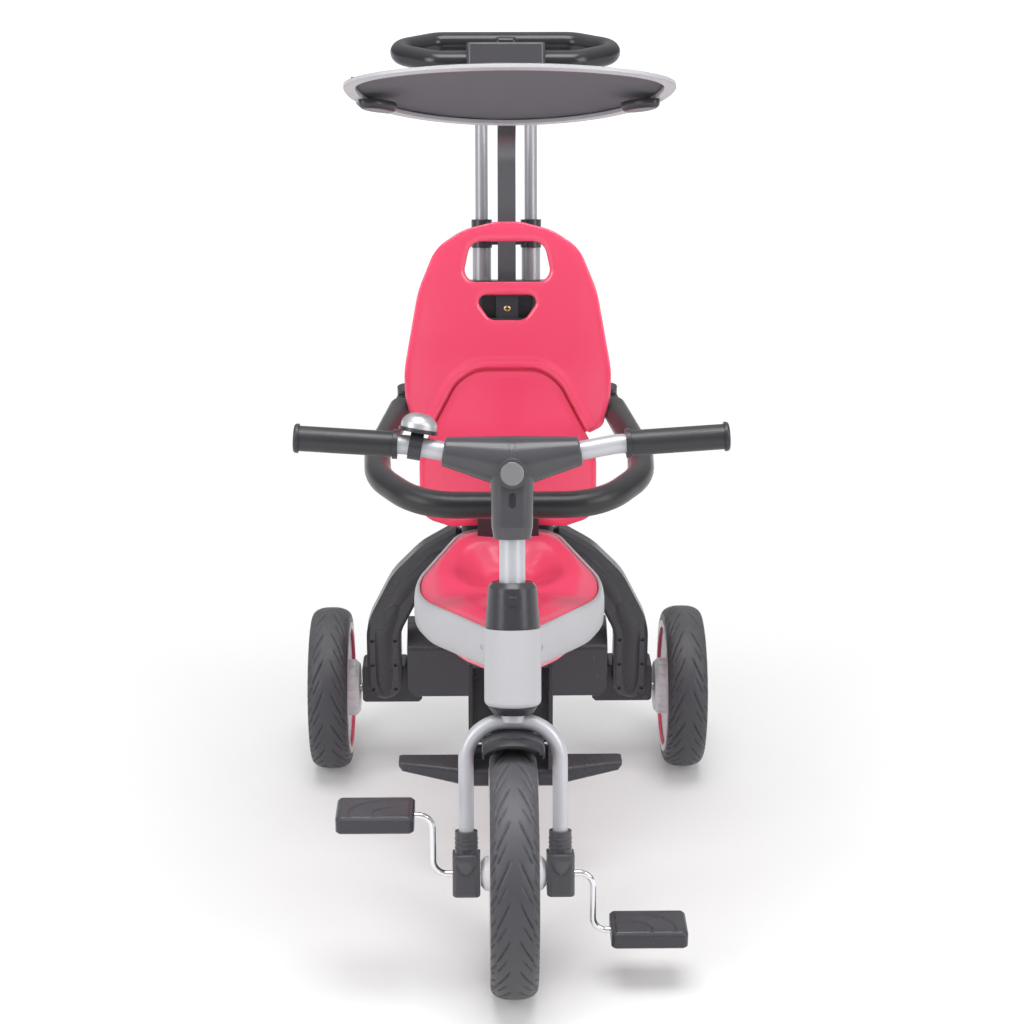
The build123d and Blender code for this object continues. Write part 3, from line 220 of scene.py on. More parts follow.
# Finishes of the tricycle's pieces
coral_red = finish("coral_red_plastic", (0.95, 0.056, 0.138), (1.0, 0.082, 0.186), (0.20, 0.28), 1400.0, 0.05,
                   marks=0.2, edge=2.5, Coat_Weight=0.5, Coat_Roughness=0.12)
pale_grey = finish("pale_grey_plastic", (0.47, 0.465, 0.495), (0.55, 0.545, 0.575), (0.36, 0.48), 1200.0, 0.06,
                   edge=1.6)
# Painted light: the rims' own pale grey, made lighter still to make up for the shade that falls on the rims and wheel
# plates
rim_grey_lit = finish("rim_grey_plastic_lit", (0.70, 0.695, 0.72), (0.78, 0.775, 0.80), (0.36, 0.48), 1200.0, 0.06)
soft_black = finish("satin_black_plastic", (0.025, 0.024, 0.030), (0.044, 0.042, 0.051), (0.26, 0.38), 1000.0, 0.12,
                    edge=1.6)
gloss_black = finish("polished_black_plastic", (0.013, 0.013, 0.017), (0.022, 0.022, 0.028), (0.20, 0.32), 1400.0,
                     0.04, edge=1.6)
# Painted light: the satin black plastic made lighter for the legs, rear axle housing and foot blocks
leg_black_lit = finish("leg_black_plastic_lit", (0.032, 0.031, 0.037), (0.056, 0.054, 0.063), (0.24, 0.36), 1000.0, 0.12,
                   edge=1.6)
dark_grey = finish("dark_grey_plastic", (0.050, 0.048, 0.056), (0.078, 0.075, 0.084), (0.20, 0.32), 1200.0, 0.08,
                   edge=1.6)
tyre_rubber = finish("tyre_rubber", (0.043, 0.042, 0.049), (0.067, 0.065, 0.075), (0.46, 0.60), 1600.0, 0.16,
                     dust=0.2)
grip_rubber = finish("grip_rubber", (0.018, 0.018, 0.022), (0.031, 0.031, 0.037), (0.30, 0.42), 1500.0, 0.20)
guard_foam = finish("guard_foam", (0.007, 0.007, 0.009), (0.013, 0.013, 0.016), (0.28, 0.40), 1100.0, 0.30,
                    Sheen_Weight=0.15)
silver_paint = finish("silver_paint", (0.49, 0.495, 0.53), (0.60, 0.605, 0.64), (0.38, 0.48), 2200.0, 0.05,
                      Metallic=0.4)
# Painted shade: a darker copy of the silver paint, used on the rear tubes only
tube_silver_shaded = finish("tube_silver_shaded", (0.33, 0.335, 0.36), (0.41, 0.415, 0.44), (0.36, 0.46), 2200.0, 0.05,
                     Metallic=0.5)
mast_grey = finish("mast_grey_paint", (0.115, 0.115, 0.128), (0.17, 0.17, 0.185), (0.30, 0.40), 2000.0, 0.05,
                   Metallic=0.6)
bright_chrome = finish("bright_chrome", (0.74, 0.75, 0.77), (0.82, 0.83, 0.85), (0.08, 0.20), 1800.0, 0.02, dust=0.03,
                       Metallic=1.0)
plain_steel = finish("plain_steel", (0.42, 0.42, 0.43), (0.55, 0.55, 0.56), (0.28, 0.42), 1500.0, 0.08, Metallic=1.0)
yellow_zinc = finish("yellow_zinc", (0.50, 0.38, 0.16), (0.66, 0.52, 0.26), (0.26, 0.40), 1500.0, 0.06, Metallic=1.0)
badge_silver = finish("badge_silver", (0.40, 0.40, 0.42), (0.50, 0.50, 0.52), (0.20, 0.32), 1500.0, 0.03,
                      Metallic=0.8)
bell_satin = finish("bell_satin", (0.56, 0.56, 0.59), (0.66, 0.66, 0.69), (0.40, 0.48), 1800.0, 0.03, Metallic=0.85)
canopy_cloth_finish = finish("canopy_cloth", (0.049, 0.048, 0.064), (0.080, 0.078, 0.100), (0.80, 0.92), depth=0.30,
                             woven=620.0, marks=0.3, dust=0.05, Sheen_Weight=0.25)

finish_of = {}
for finish_material, names in (
    (coral_red, "seat_pan lower_back_panel upper_back_panel seat_underside"),
    (pale_grey, "head_sleeve seat_band canopy_rim"),
    (rim_grey_lit, "left_rear_rim right_rear_rim front_rim"),
    (soft_black, "lower_cup upper_collar head_bushes footrest_post seat_block back_bracket tube_socket tube_clamp "
                 "guard_hinges axle_bushes bell_base bell_lever left_pedal right_pedal canopy_clips footrest "
                 "canopy_yoke left_guard_arm right_guard_arm"),
    (leg_black_lit, "rear_axle_housing left_foot_block right_foot_block left_leg right_leg"),
    (dark_grey, "cover_front cover_rear handle_connector left_axle_bracket right_axle_bracket"),
    (gloss_black, "push_handle handle_button fender"),
    (tyre_rubber, "front_tyre left_rear_tyre right_rear_tyre"),
    (grip_rubber, "left_grip right_grip"),
    (silver_paint, "main_beam head_tube fork_hoop steering_stem handlebar"),
    (tube_silver_shaded, "outer_tubes inner_tubes"),
    (mast_grey, "canopy_mast"),
    (bright_chrome, "crank_rod"),
    (bell_satin, "bell_dome"),
    (plain_steel, "rear_axle"),
    (badge_silver, "badge_disc"),
    (canopy_cloth_finish, "canopy_cloth"),
):
    for name in names.split():
        finish_of[name] = finish_material
for name, node in nodes.items():
    node.data.materials.clear()
    node.data.materials.append(finish_of[name])


# Mesh tools
def placed(name, mesh, material, body, smooth):
    """An object for a whole mesh, smooth up to an angle in degrees, that rides on a body."""
    mesh.materials.append(material)
    for polygon in mesh.polygons:
        polygon.use_smooth = True
    mesh.set_sharp_from_angle(angle=radians(smooth))
    obj = bpy.data.objects.new(name, mesh)
    bpy.context.scene.collection.objects.link(obj)
    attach(obj, body)
    return obj


def piece(name, verts, faces, material, body, smooth):
    """A piece from points in the shared frame, with those that fall together welded."""
    mesh = bpy.data.meshes.new(name)
    mesh.from_pydata([tuple(v) for v in verts], [], faces)
    shape = bmesh.new()
    shape.from_mesh(mesh)
    bmesh.ops.remove_doubles(shape, verts=shape.verts, dist=weld_distance)
    bmesh.ops.recalc_face_normals(shape, faces=shape.faces)
    shape.to_mesh(mesh)
    shape.free()
    return placed(name, mesh, material, body, smooth)


def grid_faces(rows, columns, wrap_rows=False, wrap_columns=False):
    """Quads over a grid of points numbered row by row."""
    faces = []
    for i in range(rows if wrap_rows else rows - 1):
        for j in range(columns if wrap_columns else columns - 1):
            a, b = i * columns, ((i + 1) % rows) * columns
            k = (j + 1) % columns
            faces.append((a + j, a + k, b + k, b + j))
    return faces


def spun(name, profile, steps, centre, material, body, smooth):
    """A closed ring turned about the cross axis from points given as place across and radius, in millimetres."""
    verts = []
    for i in range(steps):
        turn = 2 * pi * i / steps
        for across, radius in profile:
            verts.append(centre + Vector((across, -radius * sin(turn), radius * cos(turn))) * MM)
    faces = grid_faces(steps, len(profile), wrap_rows=True, wrap_columns=True)
    return piece(name, verts, faces, material, body, smooth)


def ease(value, low, high):
    """A soft step from zero to one between two values."""
    t = min(max((value - low) / (high - low), 0.0), 1.0)
    return t * t * (3 - 2 * t)


def plate(name, outline, low, high, frame_at, material, body, edge):
    """A flat plate from a closed outline, with small bevels, placed by a frame in metres."""
    shape = bmesh.new()
    bottom = [shape.verts.new(frame_at @ (Vector((x, y, low)) * MM)) for x, y in outline]
    face = shape.faces.new(bottom)
    raised = bmesh.ops.extrude_face_region(shape, geom=[face])
    lift = frame_at.to_3x3() @ Vector((0, 0, (high - low) * MM))
    bmesh.ops.translate(shape, verts=[v for v in raised["geom"] if isinstance(v, bmesh.types.BMVert)], vec=lift)
    bmesh.ops.recalc_face_normals(shape, faces=shape.faces)
    rims = [e for e in shape.edges if e.calc_face_angle(0) > radians(50)]
    bmesh.ops.bevel(shape, geom=rims, offset=edge * MM, segments=2, profile=0.5, affect="EDGES")
    mesh = bpy.data.meshes.new(name)
    shape.to_mesh(mesh)
    shape.free()
    return placed(name, mesh, material, body, 35.0)


def rounded_route(points, radii, step=2.0):
    """Points along a flat run of straight lines whose corners are arcs."""
    corners = [Vector((x, y, 0.0)) for x, y in points]
    ends = [corners[0]]
    route = []
    for before, corner, after, radius in zip(corners, corners[1:], corners[2:], radii):
        arrive = (before - corner).normalized()
        leave = (after - corner).normalized()
        half = arrive.angle(leave) / 2
        start = corner + arrive * (radius / tan(half))
        middle = corner + (arrive + leave).normalized() * (radius / sin(half))
        stop = corner + leave * (radius / tan(half))
        first = start - middle
        swing = first.angle(stop - middle)
        turn = Vector((0, 0, 1)) if first.cross(stop - middle).z > 0 else Vector((0, 0, -1))
        count = max(3, ceil(radius * swing / (2 * step)))
        route += straight(ends[-1], start, step)
        route += [middle + Matrix.Rotation(swing * i / count, 3, turn) @ first for i in range(count)]
        ends.append(stop)
    return route + straight(ends[-1], corners[-1], step) + [corners[-1]]


def straight(start, stop, step):
    """Points along a straight line, without its end."""
    count = max(1, ceil((stop - start).length / (4 * step)))
    return [start.lerp(stop, i / count) for i in range(count)]


def ahead_at(route, i):
    """Direction of an open route at one of its points."""
    return (route[min(i + 1, len(route) - 1)] - route[max(i - 1, 0)]).normalized()


def lengths_along(route):
    """Length of a route from its start to each point."""
    total = [0.0]
    for a, b in zip(route, route[1:]):
        total.append(total[-1] + (b - a).length)
    return total


def sleeve(route, radius, sides, round_start, round_end):
    """Rings of points round a flat route, rounded off over a length at each end."""
    total = lengths_along(route)
    turns = [2 * pi * k / sides for k in range(sides)]
    rings = []
    for i, spot in enumerate(route):
        ahead = ahead_at(route, i)
        side = Vector((ahead.y, -ahead.x, 0.0))
        size = radius
        for room, gone in ((round_start, total[i]), (round_end, total[-1] - total[i])):
            if gone < room:
                size = radius - room + sqrt(max(room * room - (room - gone) ** 2, 0.0))
        rings.append([spot + side * (size * cos(turn)) + Vector((0, 0, size * sin(turn))) for turn in turns])
    return rings


# Tyres with long curved strokes cut into the tread, those of each side meeting in a V
tyre_width = 48.0
tyre_height = 22.0
tyre_crown = 14.0
bead_inset = 5.0
wall_inset = 0.7
wall_height = 4.6
crown_square = 2.45
crown_points = 60
off_tread = 2.0
stroke_start = 0.08
stroke_end = 0.10
stroke_curve = 0.62
stroke_floor = 0.3
tread_cut = 1.7
steps_each_group = 44

# Strokes of one group: place round the tyre, slope, start and end across, width and share of the depth
tread_strokes = ((0.0, 1.75, 0.05, 0.54, 0.070, 1.0), (0.34, 1.60, 0.13, 0.50, 0.052, 0.8),
                 (0.10, 1.30, 0.44, 0.88, 0.070, 1.0), (0.44, 1.20, 0.50, 0.88, 0.052, 0.8),
                 (0.76, 1.20, 0.54, 0.88, 0.052, 0.8))


def tyre_profile(radius):
    """Cross-section from bead to bead with square shoulders: across, radius and place on the tread."""
    crown = []
    for i in range(crown_points + 1):
        share = 2 * i / crown_points - 1
        angle = share * pi / 2
        reach = abs(sin(angle)) ** (2 / crown_square) * tyre_width / 2
        rise = max(cos(angle), 0.0) ** (2 / crown_square) * tyre_crown
        crown.append((reach if share > 0 else -reach, radius - tyre_crown + rise, share))
    wall = [(tyre_width / 2 - wall_inset, radius - tyre_height + wall_height, off_tread),
            (tyre_width / 2 - bead_inset, radius - tyre_height, off_tread)]
    return [(-x, r, -off_tread) for x, r, _ in reversed(wall)] + crown + wall


def stroke(around, share, slope, start, end, width):
    """Depth from zero to one of the cut strokes at a place round and across the tread."""
    side = abs(share)
    along = ease(side, start, start + stroke_start) * (1 - ease(side, end - stroke_end, end))
    offset = around - slope * (max(side, start) ** stroke_curve - start ** stroke_curve)
    gap = abs(offset - round(offset))
    return along * (1 - ease(gap, width * stroke_floor, width))


def tread_depth(around, share):
    """Depth from zero to one of the deepest stroke at a place on the tread."""
    return max(depth * stroke(around + shift, share, slope, start, end, width)
               for shift, slope, start, end, width, depth in tread_strokes)


def treaded_tyre(name, radius, centre, body, groups, node):
    """A tyre with a number of groups of strokes round it, in place of its solid."""
    steps = steps_each_group * groups
    profile = tyre_profile(radius)
    verts = []
    for i in range(steps):
        turn = 2 * pi * i / steps
        for k, (across, distance, share) in enumerate(profile):
            if abs(share) < 1.0:
                cut = tread_cut * tread_depth(groups * i / steps, share)
                before, after = profile[k - 1], profile[k + 1]
                run = Vector((after[0] - before[0], after[1] - before[1])).normalized()
                across, distance = across + run.y * cut, distance - run.x * cut
            verts.append(centre + Vector((across, -distance * sin(turn), distance * cos(turn))) * MM)
    faces = grid_faces(steps, len(profile), wrap_rows=True, wrap_columns=True)
    tyre = piece(name, verts, faces, tyre_rubber, body, 60.0)
    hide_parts(node)
    return tyre


front_axle = place(0, 0, front_radius)
right_hub = place(rear_track / 2, wheelbase, rear_radius)
left_hub = place(-rear_track / 2, wheelbase, rear_radius)
treaded_tyre("front_tread", front_radius, front_axle, "front_wheel", 20, "front_tyre")
treaded_tyre("left_rear_tread", rear_radius, left_hub, "left_rear_wheel", 16, "left_rear_tyre")
treaded_tyre("right_rear_tread", rear_radius, right_hub, "right_rear_wheel", 16, "right_rear_tyre")


# Red rings and pale plates snapped into the rims
ring_steps = 120


def red_ring(name, profile, side, centre, body):
    """A thin red ring on one side of a wheel, from corners given as place across and radius."""
    ring = spun(name, [(side * x, r) for x, r in profile], ring_steps, centre, coral_red, body, 50.0)
    return ring


rim_well = rear_radius - tyre_height - 3.2
plate_face = 20.6
rear_ring = [(plate_face, rim_well + 0.1), (plate_face, rim_well - 1.0), (24.2, rim_well - 1.0),
             (24.6, rim_well - 0.5), (24.6, rim_well + 0.1)]
wheel_plate = [(16.9, 33.0), (plate_face - 1.2, 33.0), (plate_face - 0.4, 40.0), (plate_face, 46.0),
               (plate_face, rim_well - 4.0), (plate_face - 0.6, rim_well - 0.6), (16.9, rim_well - 0.6)]
front_bead = front_radius - tyre_height
front_ring = [(22.4, front_bead + 3.4), (23.2, front_bead + 3.8), (23.75, front_bead + 5.2),
              (23.75, front_bead + 6.4), (23.2, front_bead + 7.6), (22.4, front_bead + 7.8)]
for side, label in ((-1, "left"), (1, "right")):
    for face, word in ((-1, "inner"), (1, "outer")):
        centre = left_hub if side < 0 else right_hub
        red_ring(f"{label}_{word}_ring", rear_ring, side * face, centre, f"{label}_rear_wheel")
        if word == "inner":
            across = [(side * face * x, r) for x, r in wheel_plate]
            # The inner plates take the rim grey, which is partly the real pale grey and partly painted light
            spun(f"{label}_wheel_plate", across, ring_steps, centre, rim_grey_lit, f"{label}_rear_wheel", 50.0)
    red_ring(f"front_{label}_ring", front_ring, side, front_axle, "front_wheel")

# Canopy cloth: one crowned sheet stretched over the rim, turned down round its edge
canopy_frame = tilted(0, 250.0, 878.0, -20.0)
canopy_half = 167.5
canopy_front = 95.0
canopy_rear = 188.0
rim_thick = 4.0
cloth_crown = 10.0
cloth_lift = 1.1
cloth_inset = 6.0
cloth_thick = 0.9
cloth_rest = rim_thick / 2 + 0.5
pull_waves = 18
pull_height = 0.22


def cloth_edge(turn):
    """A point of the cloth's egg-shaped outline in the canopy's own plane."""
    depth = canopy_front if sin(turn) < 0 else canopy_rear
    return Vector(((canopy_half - cloth_inset) * cos(turn), (depth - cloth_inset) * sin(turn), 0.0))


def stretched_cloth():
    """The sheet over the rim, with faint pulls at its edge."""
    rings, steps = 26, 144
    verts = []
    for i in range(rings + 1):
        share = i / rings
        for j in range(steps):
            turn = 2 * pi * j / steps
            spot = cloth_edge(turn) * share
            pull = sin(pull_waves * turn) * pull_height * share ** 6
            spot.z = cloth_rest + cloth_lift * (1 - share ** 24) + cloth_crown * (1 - share ** 2.2) + pull
            verts.append(canopy_frame @ (spot * MM))
    faces = grid_faces(rings + 1, steps, wrap_columns=True)
    cloth = piece("canopy_sheet", verts, faces, canopy_cloth_finish, "canopy", 70.0)
    thick = cloth.modifiers.new("cloth_thickness", "SOLIDIFY")
    thick.thickness = cloth_thick * MM
    thick.offset = 0.0
    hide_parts("canopy_cloth")
    return cloth


stretched_cloth()


# Guard ring: two foam sleeves, each on a plastic tongue at its hinge
guard_front = 215.0
guard_hinge = 484.0
guard_slope = 8.5
guard_frame = tilted(0, guard_front, 445.0, guard_slope)
guard_radius = 14.5
guard_pin = Vector((117.5, (guard_hinge - guard_front) / cos(radians(guard_slope)), 0.0))
guard_rear = Vector((146.0, guard_pin.y - 150.0, 0.0))
guard_knuckle = 28.0
foam_end = guard_pin + (guard_rear - guard_pin).normalized() * guard_knuckle
guard_points = [(0.25, 0.0), (96.0, 0.0), (143.0, 66.0), (guard_rear.x, guard_rear.y), (foam_end.x, foam_end.y)]
guard_bends = (78.0, 78.0, 90.0)
foam_sides = 36
meeting_round = 2.2
hinge_round = 3.0
end_shares = (0.02, 0.08, 0.2, 0.4, 0.7)


def guard_half(side, body, node):
    """Foam sleeve of one half with soft rounded ends."""
    route = rounded_route(guard_points, guard_bends)
    head = [route[0].lerp(route[1], share) for share in end_shares]
    tail = [route[-1].lerp(route[-2], share) for share in reversed(end_shares)]
    route = [route[0]] + head + route[1:-1] + tail + [route[-1]]
    rings = sleeve(route, guard_radius, foam_sides, meeting_round, hinge_round)
    verts = []
    for ring in rings:
        for spot in ring:
            verts.append(guard_frame @ (Vector((spot.x * side, spot.y, spot.z)) * MM))
    faces = grid_faces(len(rings), foam_sides, wrap_columns=True)
    faces += [tuple(range(foam_sides)), tuple(range(len(verts) - foam_sides, len(verts)))]
    foam = piece(f"{body}_foam", verts, faces, guard_foam, body, 50.0)
    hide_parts(node)
    return foam


guard_half(-1, "left_guard", "left_guard_arm")
guard_half(1, "right_guard", "right_guard_arm")


# Ring handle with a round section
handle_frame = tilted(0, 606.7, 858.5, 8.0)
handle_radius = 12.5
handle_corners = [(0.0, 0.0), (82.0, 0.0), (141.0, 43.0), (82.0, 86.0), (0.0, 86.0)]
handle_side = rounded_route(handle_corners, (32.0, 24.0, 32.0))
handle_loop = handle_side + [Vector((-spot.x, spot.y, 0.0)) for spot in handle_side[-2:0:-1]]


def ring_handle():
    """The push bar's closed ring, in place of its solid."""
    sides, count = 32, len(handle_loop)
    verts = []
    for i, spot in enumerate(handle_loop):
        ahead = (handle_loop[(i + 1) % count] - handle_loop[i - 1]).normalized()
        outward = Vector((ahead.y, -ahead.x, 0.0))
        for k in range(sides):
            turn = 2 * pi * k / sides
            at = spot + outward * (handle_radius * cos(turn)) + Vector((0.0, 0.0, handle_radius * sin(turn)))
            verts.append(handle_frame @ (at * MM))
    ring = piece("handle_ring", verts, grid_faces(count, sides, wrap_rows=True, wrap_columns=True), gloss_black,
                 "push_bar", 60.0)
    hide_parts("push_handle")
    return ring


ring_handle()


# Plastic tongues of the guard's halves, each ending in a boss round its hinge pin
tongue_width = 18.0
tongue_boss = 11.0
tongue_half = 8.0


def tongue_outline(reach, steps=20):
    """A straight tongue that ends in a round boss about the origin, lying along minus X."""
    start = asin(tongue_width / 2 / tongue_boss)
    turns = [start - pi + (2 * pi - 2 * start) * i / steps for i in range(steps + 1)]
    arc = [(tongue_boss * cos(turn), tongue_boss * sin(turn)) for turn in turns]
    return [(-reach, -tongue_width / 2)] + arc + [(-reach, tongue_width / 2)]


def guard_tongue(side, body):
    """The tongue of one half, from inside its foam to its hinge pin."""
    inward = (guard_pin - guard_rear).normalized()
    turn = Matrix(((inward.x, -inward.y, 0, guard_pin.x * MM), (inward.y, inward.x, 0, guard_pin.y * MM),
                   (0, 0, 1, 0), (0, 0, 0, 1)))
    mirror = Matrix.Scale(side, 4, Vector((1, 0, 0)))
    return plate(f"{body}_tongue", tongue_outline(guard_knuckle + hinge_round), -tongue_half, tongue_half,
                 guard_frame @ mirror @ turn, soft_black, body, 1.0)


guard_tongue(-1, "left_guard")
guard_tongue(1, "right_guard")


# Seat back: two hollow panels with rolled edges, the upper one arched round the lower one
back_lean = 9.0
back_frame = tilted(0, 430.0, 340.0, 90 - back_lean)
back_round = 260.0
back_wall = 6.0
back_roll = 7.5
back_slice = 6.0
tip_roll = 0.15
tip_length = 16.0
trim_bed = 0.15
route_step = 1.5


def on_back(x, height, proud):
    """A point on the hollow face of the seat back, lifted off it by a small amount."""
    face = sqrt(back_round ** 2 - x * x)
    lean = Vector((-x / back_round, 0.0, face / back_round))
    return back_frame @ ((Vector((x, height, back_round - face)) + lean * proud) * MM)


def both_sides(points):
    """Corners of the right side followed by their mirror images."""
    return points + [(-x, y) for x, y in reversed(points)]


def closed_route(points, radii):
    """A closed outline with rounded corners, from the corners of its right side and of its left."""
    start = (0.5 * (points[0][0] + points[-1][0]), 0.5 * (points[0][1] + points[-1][1]))
    return rounded_route([start, *points, start], radii, route_step)[:-1]


def mirrored(points, radii):
    """A closed outline from the corners of its right side."""
    return closed_route(both_sides(points), radii + radii[::-1])


def with_inward(route):
    """Each point of a closed outline with the direction to its left."""
    pairs = []
    for before, spot, after in zip(route[-1:] + route[:-1], route, route[1:] + route[:1]):
        ahead = (after - before).normalized()
        pairs.append((spot, Vector((-ahead.y, ahead.x, 0.0))))
    return pairs


def back_panel(name, outer, holes, node, tip):
    """A panel of the seat back: its outline and holes have rolled edges, thinner at its tip, then it is bent."""
    shape = bmesh.new()
    round_steps = 12
    front, back, front_loops = [], [], []
    for route in [outer] + [hole[::-1] for hole in holes]:
        rings = []
        for k in range(round_steps + 1):
            angle = pi * k / round_steps
            roll = back_roll if 2 * k < round_steps else back_wall / 2
            inset = roll * (1 - sin(angle))
            depth = back_wall / 2 * (cos(angle) - 1)
            ring = []
            for spot, inward in with_inward(route):
                full = tip_roll + (1 - tip_roll) * ease(spot.y, tip, tip + tip_length)
                ring.append(shape.verts.new(spot + inward * (inset * full) + Vector((0, 0, depth))))
            rings.append(ring)
        for ring, following in zip(rings, rings[1:]):
            for i in range(len(ring)):
                j = (i + 1) % len(ring)
                shape.faces.new((ring[i], ring[j], following[j], following[i]))
        front += rings[0]
        back += rings[-1]
        front_loops.append([vert.co.copy() for vert in rings[0]])
    for a, b, c in tessellate_polygon(front_loops):
        shape.faces.new((front[a], front[b], front[c]))
        shape.faces.new((back[c], back[b], back[a]))
    reach = max(abs(vert.co.x) for vert in shape.verts)
    slices = int(reach / back_slice)
    for i in range(-slices, slices + 1):
        bmesh.ops.bisect_plane(shape, geom=shape.verts[:] + shape.edges[:] + shape.faces[:],
                               plane_co=(i * back_slice + 0.01, 0, 0), plane_no=(1, 0, 0))
    for vert in shape.verts:
        vert.co = on_back(*vert.co)
    corners = [vert.co.copy() for vert in shape.verts]
    shape.verts.index_update()
    faces = [[vert.index for vert in face.verts] for face in shape.faces]
    shape.free()
    panel = piece(name, corners, faces, coral_red, "frame", 50.0)
    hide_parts(node)
    return panel


def arch_roll(name, points, radii, edge, width, height):
    """A low roll along the arch, steep at the edge and running out softly on the panel above."""
    route = rounded_route(points, radii, route_step)
    across = 14
    crest = 0.3
    verts = []
    for i, spot in enumerate(route):
        ahead = ahead_at(route, i)
        outward = Vector((ahead.y, -ahead.x, 0.0))
        for k in range(across + 1):
            share = k / across
            if share < crest:
                rise = sqrt(max(1 - (1 - share / crest) ** 2, 0.0))
            else:
                rise = 1 - ease(share, crest, 1.0)
            at = spot + outward * (edge + share * width)
            verts.append(on_back(at.x, at.y, height * rise - trim_bed))
    roll = piece(name, verts, grid_faces(len(route), across + 1), coral_red, "frame", 60.0)
    return roll


def joint_strip(name, points, radii, middle, width, front, back):
    """A flat strip behind the joint of the two panels."""
    route = rounded_route(points, radii, route_step)
    verts = []
    for i, spot in enumerate(route):
        ahead = ahead_at(route, i)
        inward = Vector((-ahead.y, ahead.x, 0.0))
        for offset, depth in ((-width / 2, front), (width / 2, front), (width / 2, back), (-width / 2, back)):
            at = spot + inward * (middle + offset)
            verts.append(on_back(at.x, at.y, depth))
    strip = piece(name, verts, grid_faces(len(route), 4, wrap_columns=True), coral_red, "frame", 40.0)
    return strip


lower_side = [(66.0, 5.2), (101.0, 19.2), (101.0, 93.5), (59.0, 172.0), (38.0, 187.0)]
lower_bends = (20.0, 26.0, 60.0, 40.0, 40.0)
upper_side = [(92.6, 115.8), (108.0, 125.0), (116.0, 160.0), (117.0, 190.0), (101.0, 280.0), (81.0, 329.0),
              (50.0, 349.0), (14.0, 358.0)]
upper_bends = (2.5, 12.0, 30.0, 120.0, 120.0, 50.0, 60.0, 60.0)
upper_arch = [(-61.3, 174.0), (-39.0, 190.0), (39.0, 190.0), (61.3, 174.0)]
arch_bends = (43.0, 43.0, 43.0, 43.0)
grip_hole = mirrored([(51.5, 289.5), (41.5, 335.5)], (14.0, 16.0))
view_hole = mirrored([(20.0, 245.5), (39.0, 274.5)], (13.0, 8.0))
upper_edge = closed_route(both_sides(upper_side) + upper_arch, upper_bends + upper_bends[::-1] + arch_bends)
back_panel("upper_panel", upper_edge, [grip_hole, view_hole], "upper_back_panel", 116.0)
back_panel("lower_panel", mirrored(lower_side, lower_bends), [], "lower_back_panel", -16.0)
joint_top = lower_side[-2:]
joint_bends = (40.0, 40.0, 40.0, 40.0)
arch_roll("arch_roll", both_sides([(87.9, 118.0), *joint_top]), joint_bends, 3.3, 15.0, 3.8)
joint_strip("panel_joint_strip", both_sides([(88.5, 116.8), *joint_top]), joint_bends, -1.5, 15.0, -5.4, -7.6)


# Seat: a red pan with a round bowl inside a pale band, over a shallow boat
seat_side = [(2.0, 70.0), (106.7, 310.0), (52.0, 440.0)]
seat_bends = (0.5, 80.0, 34.0)
seat_centre = Vector((0.0, 300.0, 0.0))
seat_ring = with_inward(mirrored(seat_side, seat_bends))
bowl_place = 352.0
bowl_half = 78.0
bowl_length = 74.0
bowl_depth = 26.0
pan_crown = 7.0
pan_sunk = 2.5
pan_gap = 0.3
pan_skirt = 16.0
lip_width = 7.0
lip_share = 0.35
swell_width = 44.0
keel_height = 266.0
keel_share = 0.5
boat_out = 2.0
boat_tuck = 6.0
boat_drop = 0.4
nose_drop = 4.4
nose_from, nose_to = 165.0, 215.0

# The band's edges fall from the nose and rise to the rear: height, place along and slope of each line
top_fall, top_rise = (345.0, 115.0, -0.205), (311.0, 270.0, 0.15)
foot_fall, foot_rise = (303.0, 115.0, -0.235), (273.5, 290.0, 0.08)
kink_round = 2.0


def dipped(y, fall, rise):
    """The higher of two sloping lines at a place along the seat, with the kink between them rounded off."""
    first, second = (height + slope * (y - start) for height, start, slope in (fall, rise))
    return (first + second) / 2 + sqrt((first - second) ** 2 / 4 + kink_round * kink_round)


def band_top(y):
    """Height of the band's upper edge at a place along the seat."""
    return dipped(y, top_fall, top_rise)


def band_foot(y):
    """Height of the band's lower edge at a place along the seat."""
    return dipped(y, foot_fall, foot_rise)


def seat_band():
    """The pale band: a section given as place outside, edge and lift, carried round the seat."""
    section = [(0.4, band_foot, 1.2), (1.4, band_foot, 0.0), (4.2, band_foot, 0.0), (5.6, band_foot, 0.8),
               (6.4, band_foot, 2.6), (7.2, band_foot, 12.0), (7.0, band_top, -14.0), (6.0, band_top, -7.0),
               (4.8, band_top, -3.0), (3.8, band_top, -1.0), (2.8, band_top, -0.2), (1.8, band_top, 0.0),
               (0.8, band_top, -0.5), (0.4, band_top, -2.0), (0.4, band_top, -9.0)]
    verts = []
    for spot, inward in seat_ring:
        for outside, height, lift in section:
            at = spot - inward * outside
            verts.append(place(at.x, at.y, height(spot.y) + lift))
    band = piece("pale_band", verts, grid_faces(len(seat_ring), len(section), True, True), pale_grey, "frame", 50.0)
    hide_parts("seat_band")
    return band


def pan_height(x, y, from_edge):
    """Height of the pan: a tight lip and a slow swell from its edge, with the bowl sunk in it."""
    lip = sqrt(1 - (1 - min(from_edge / lip_width, 1.0)) ** 2)
    swell = 1 - (1 - min(from_edge / swell_width, 1.0)) ** 2.2
    rolled = lip_share * lip + (1 - lip_share) * swell
    hollow = sqrt((x / bowl_half) ** 2 + ((y - bowl_place) / bowl_length) ** 2)
    return band_top(y) - pan_sunk + (pan_crown + pan_sunk) * rolled - bowl_depth * (1 - ease(hollow, 0.2, 1.0))


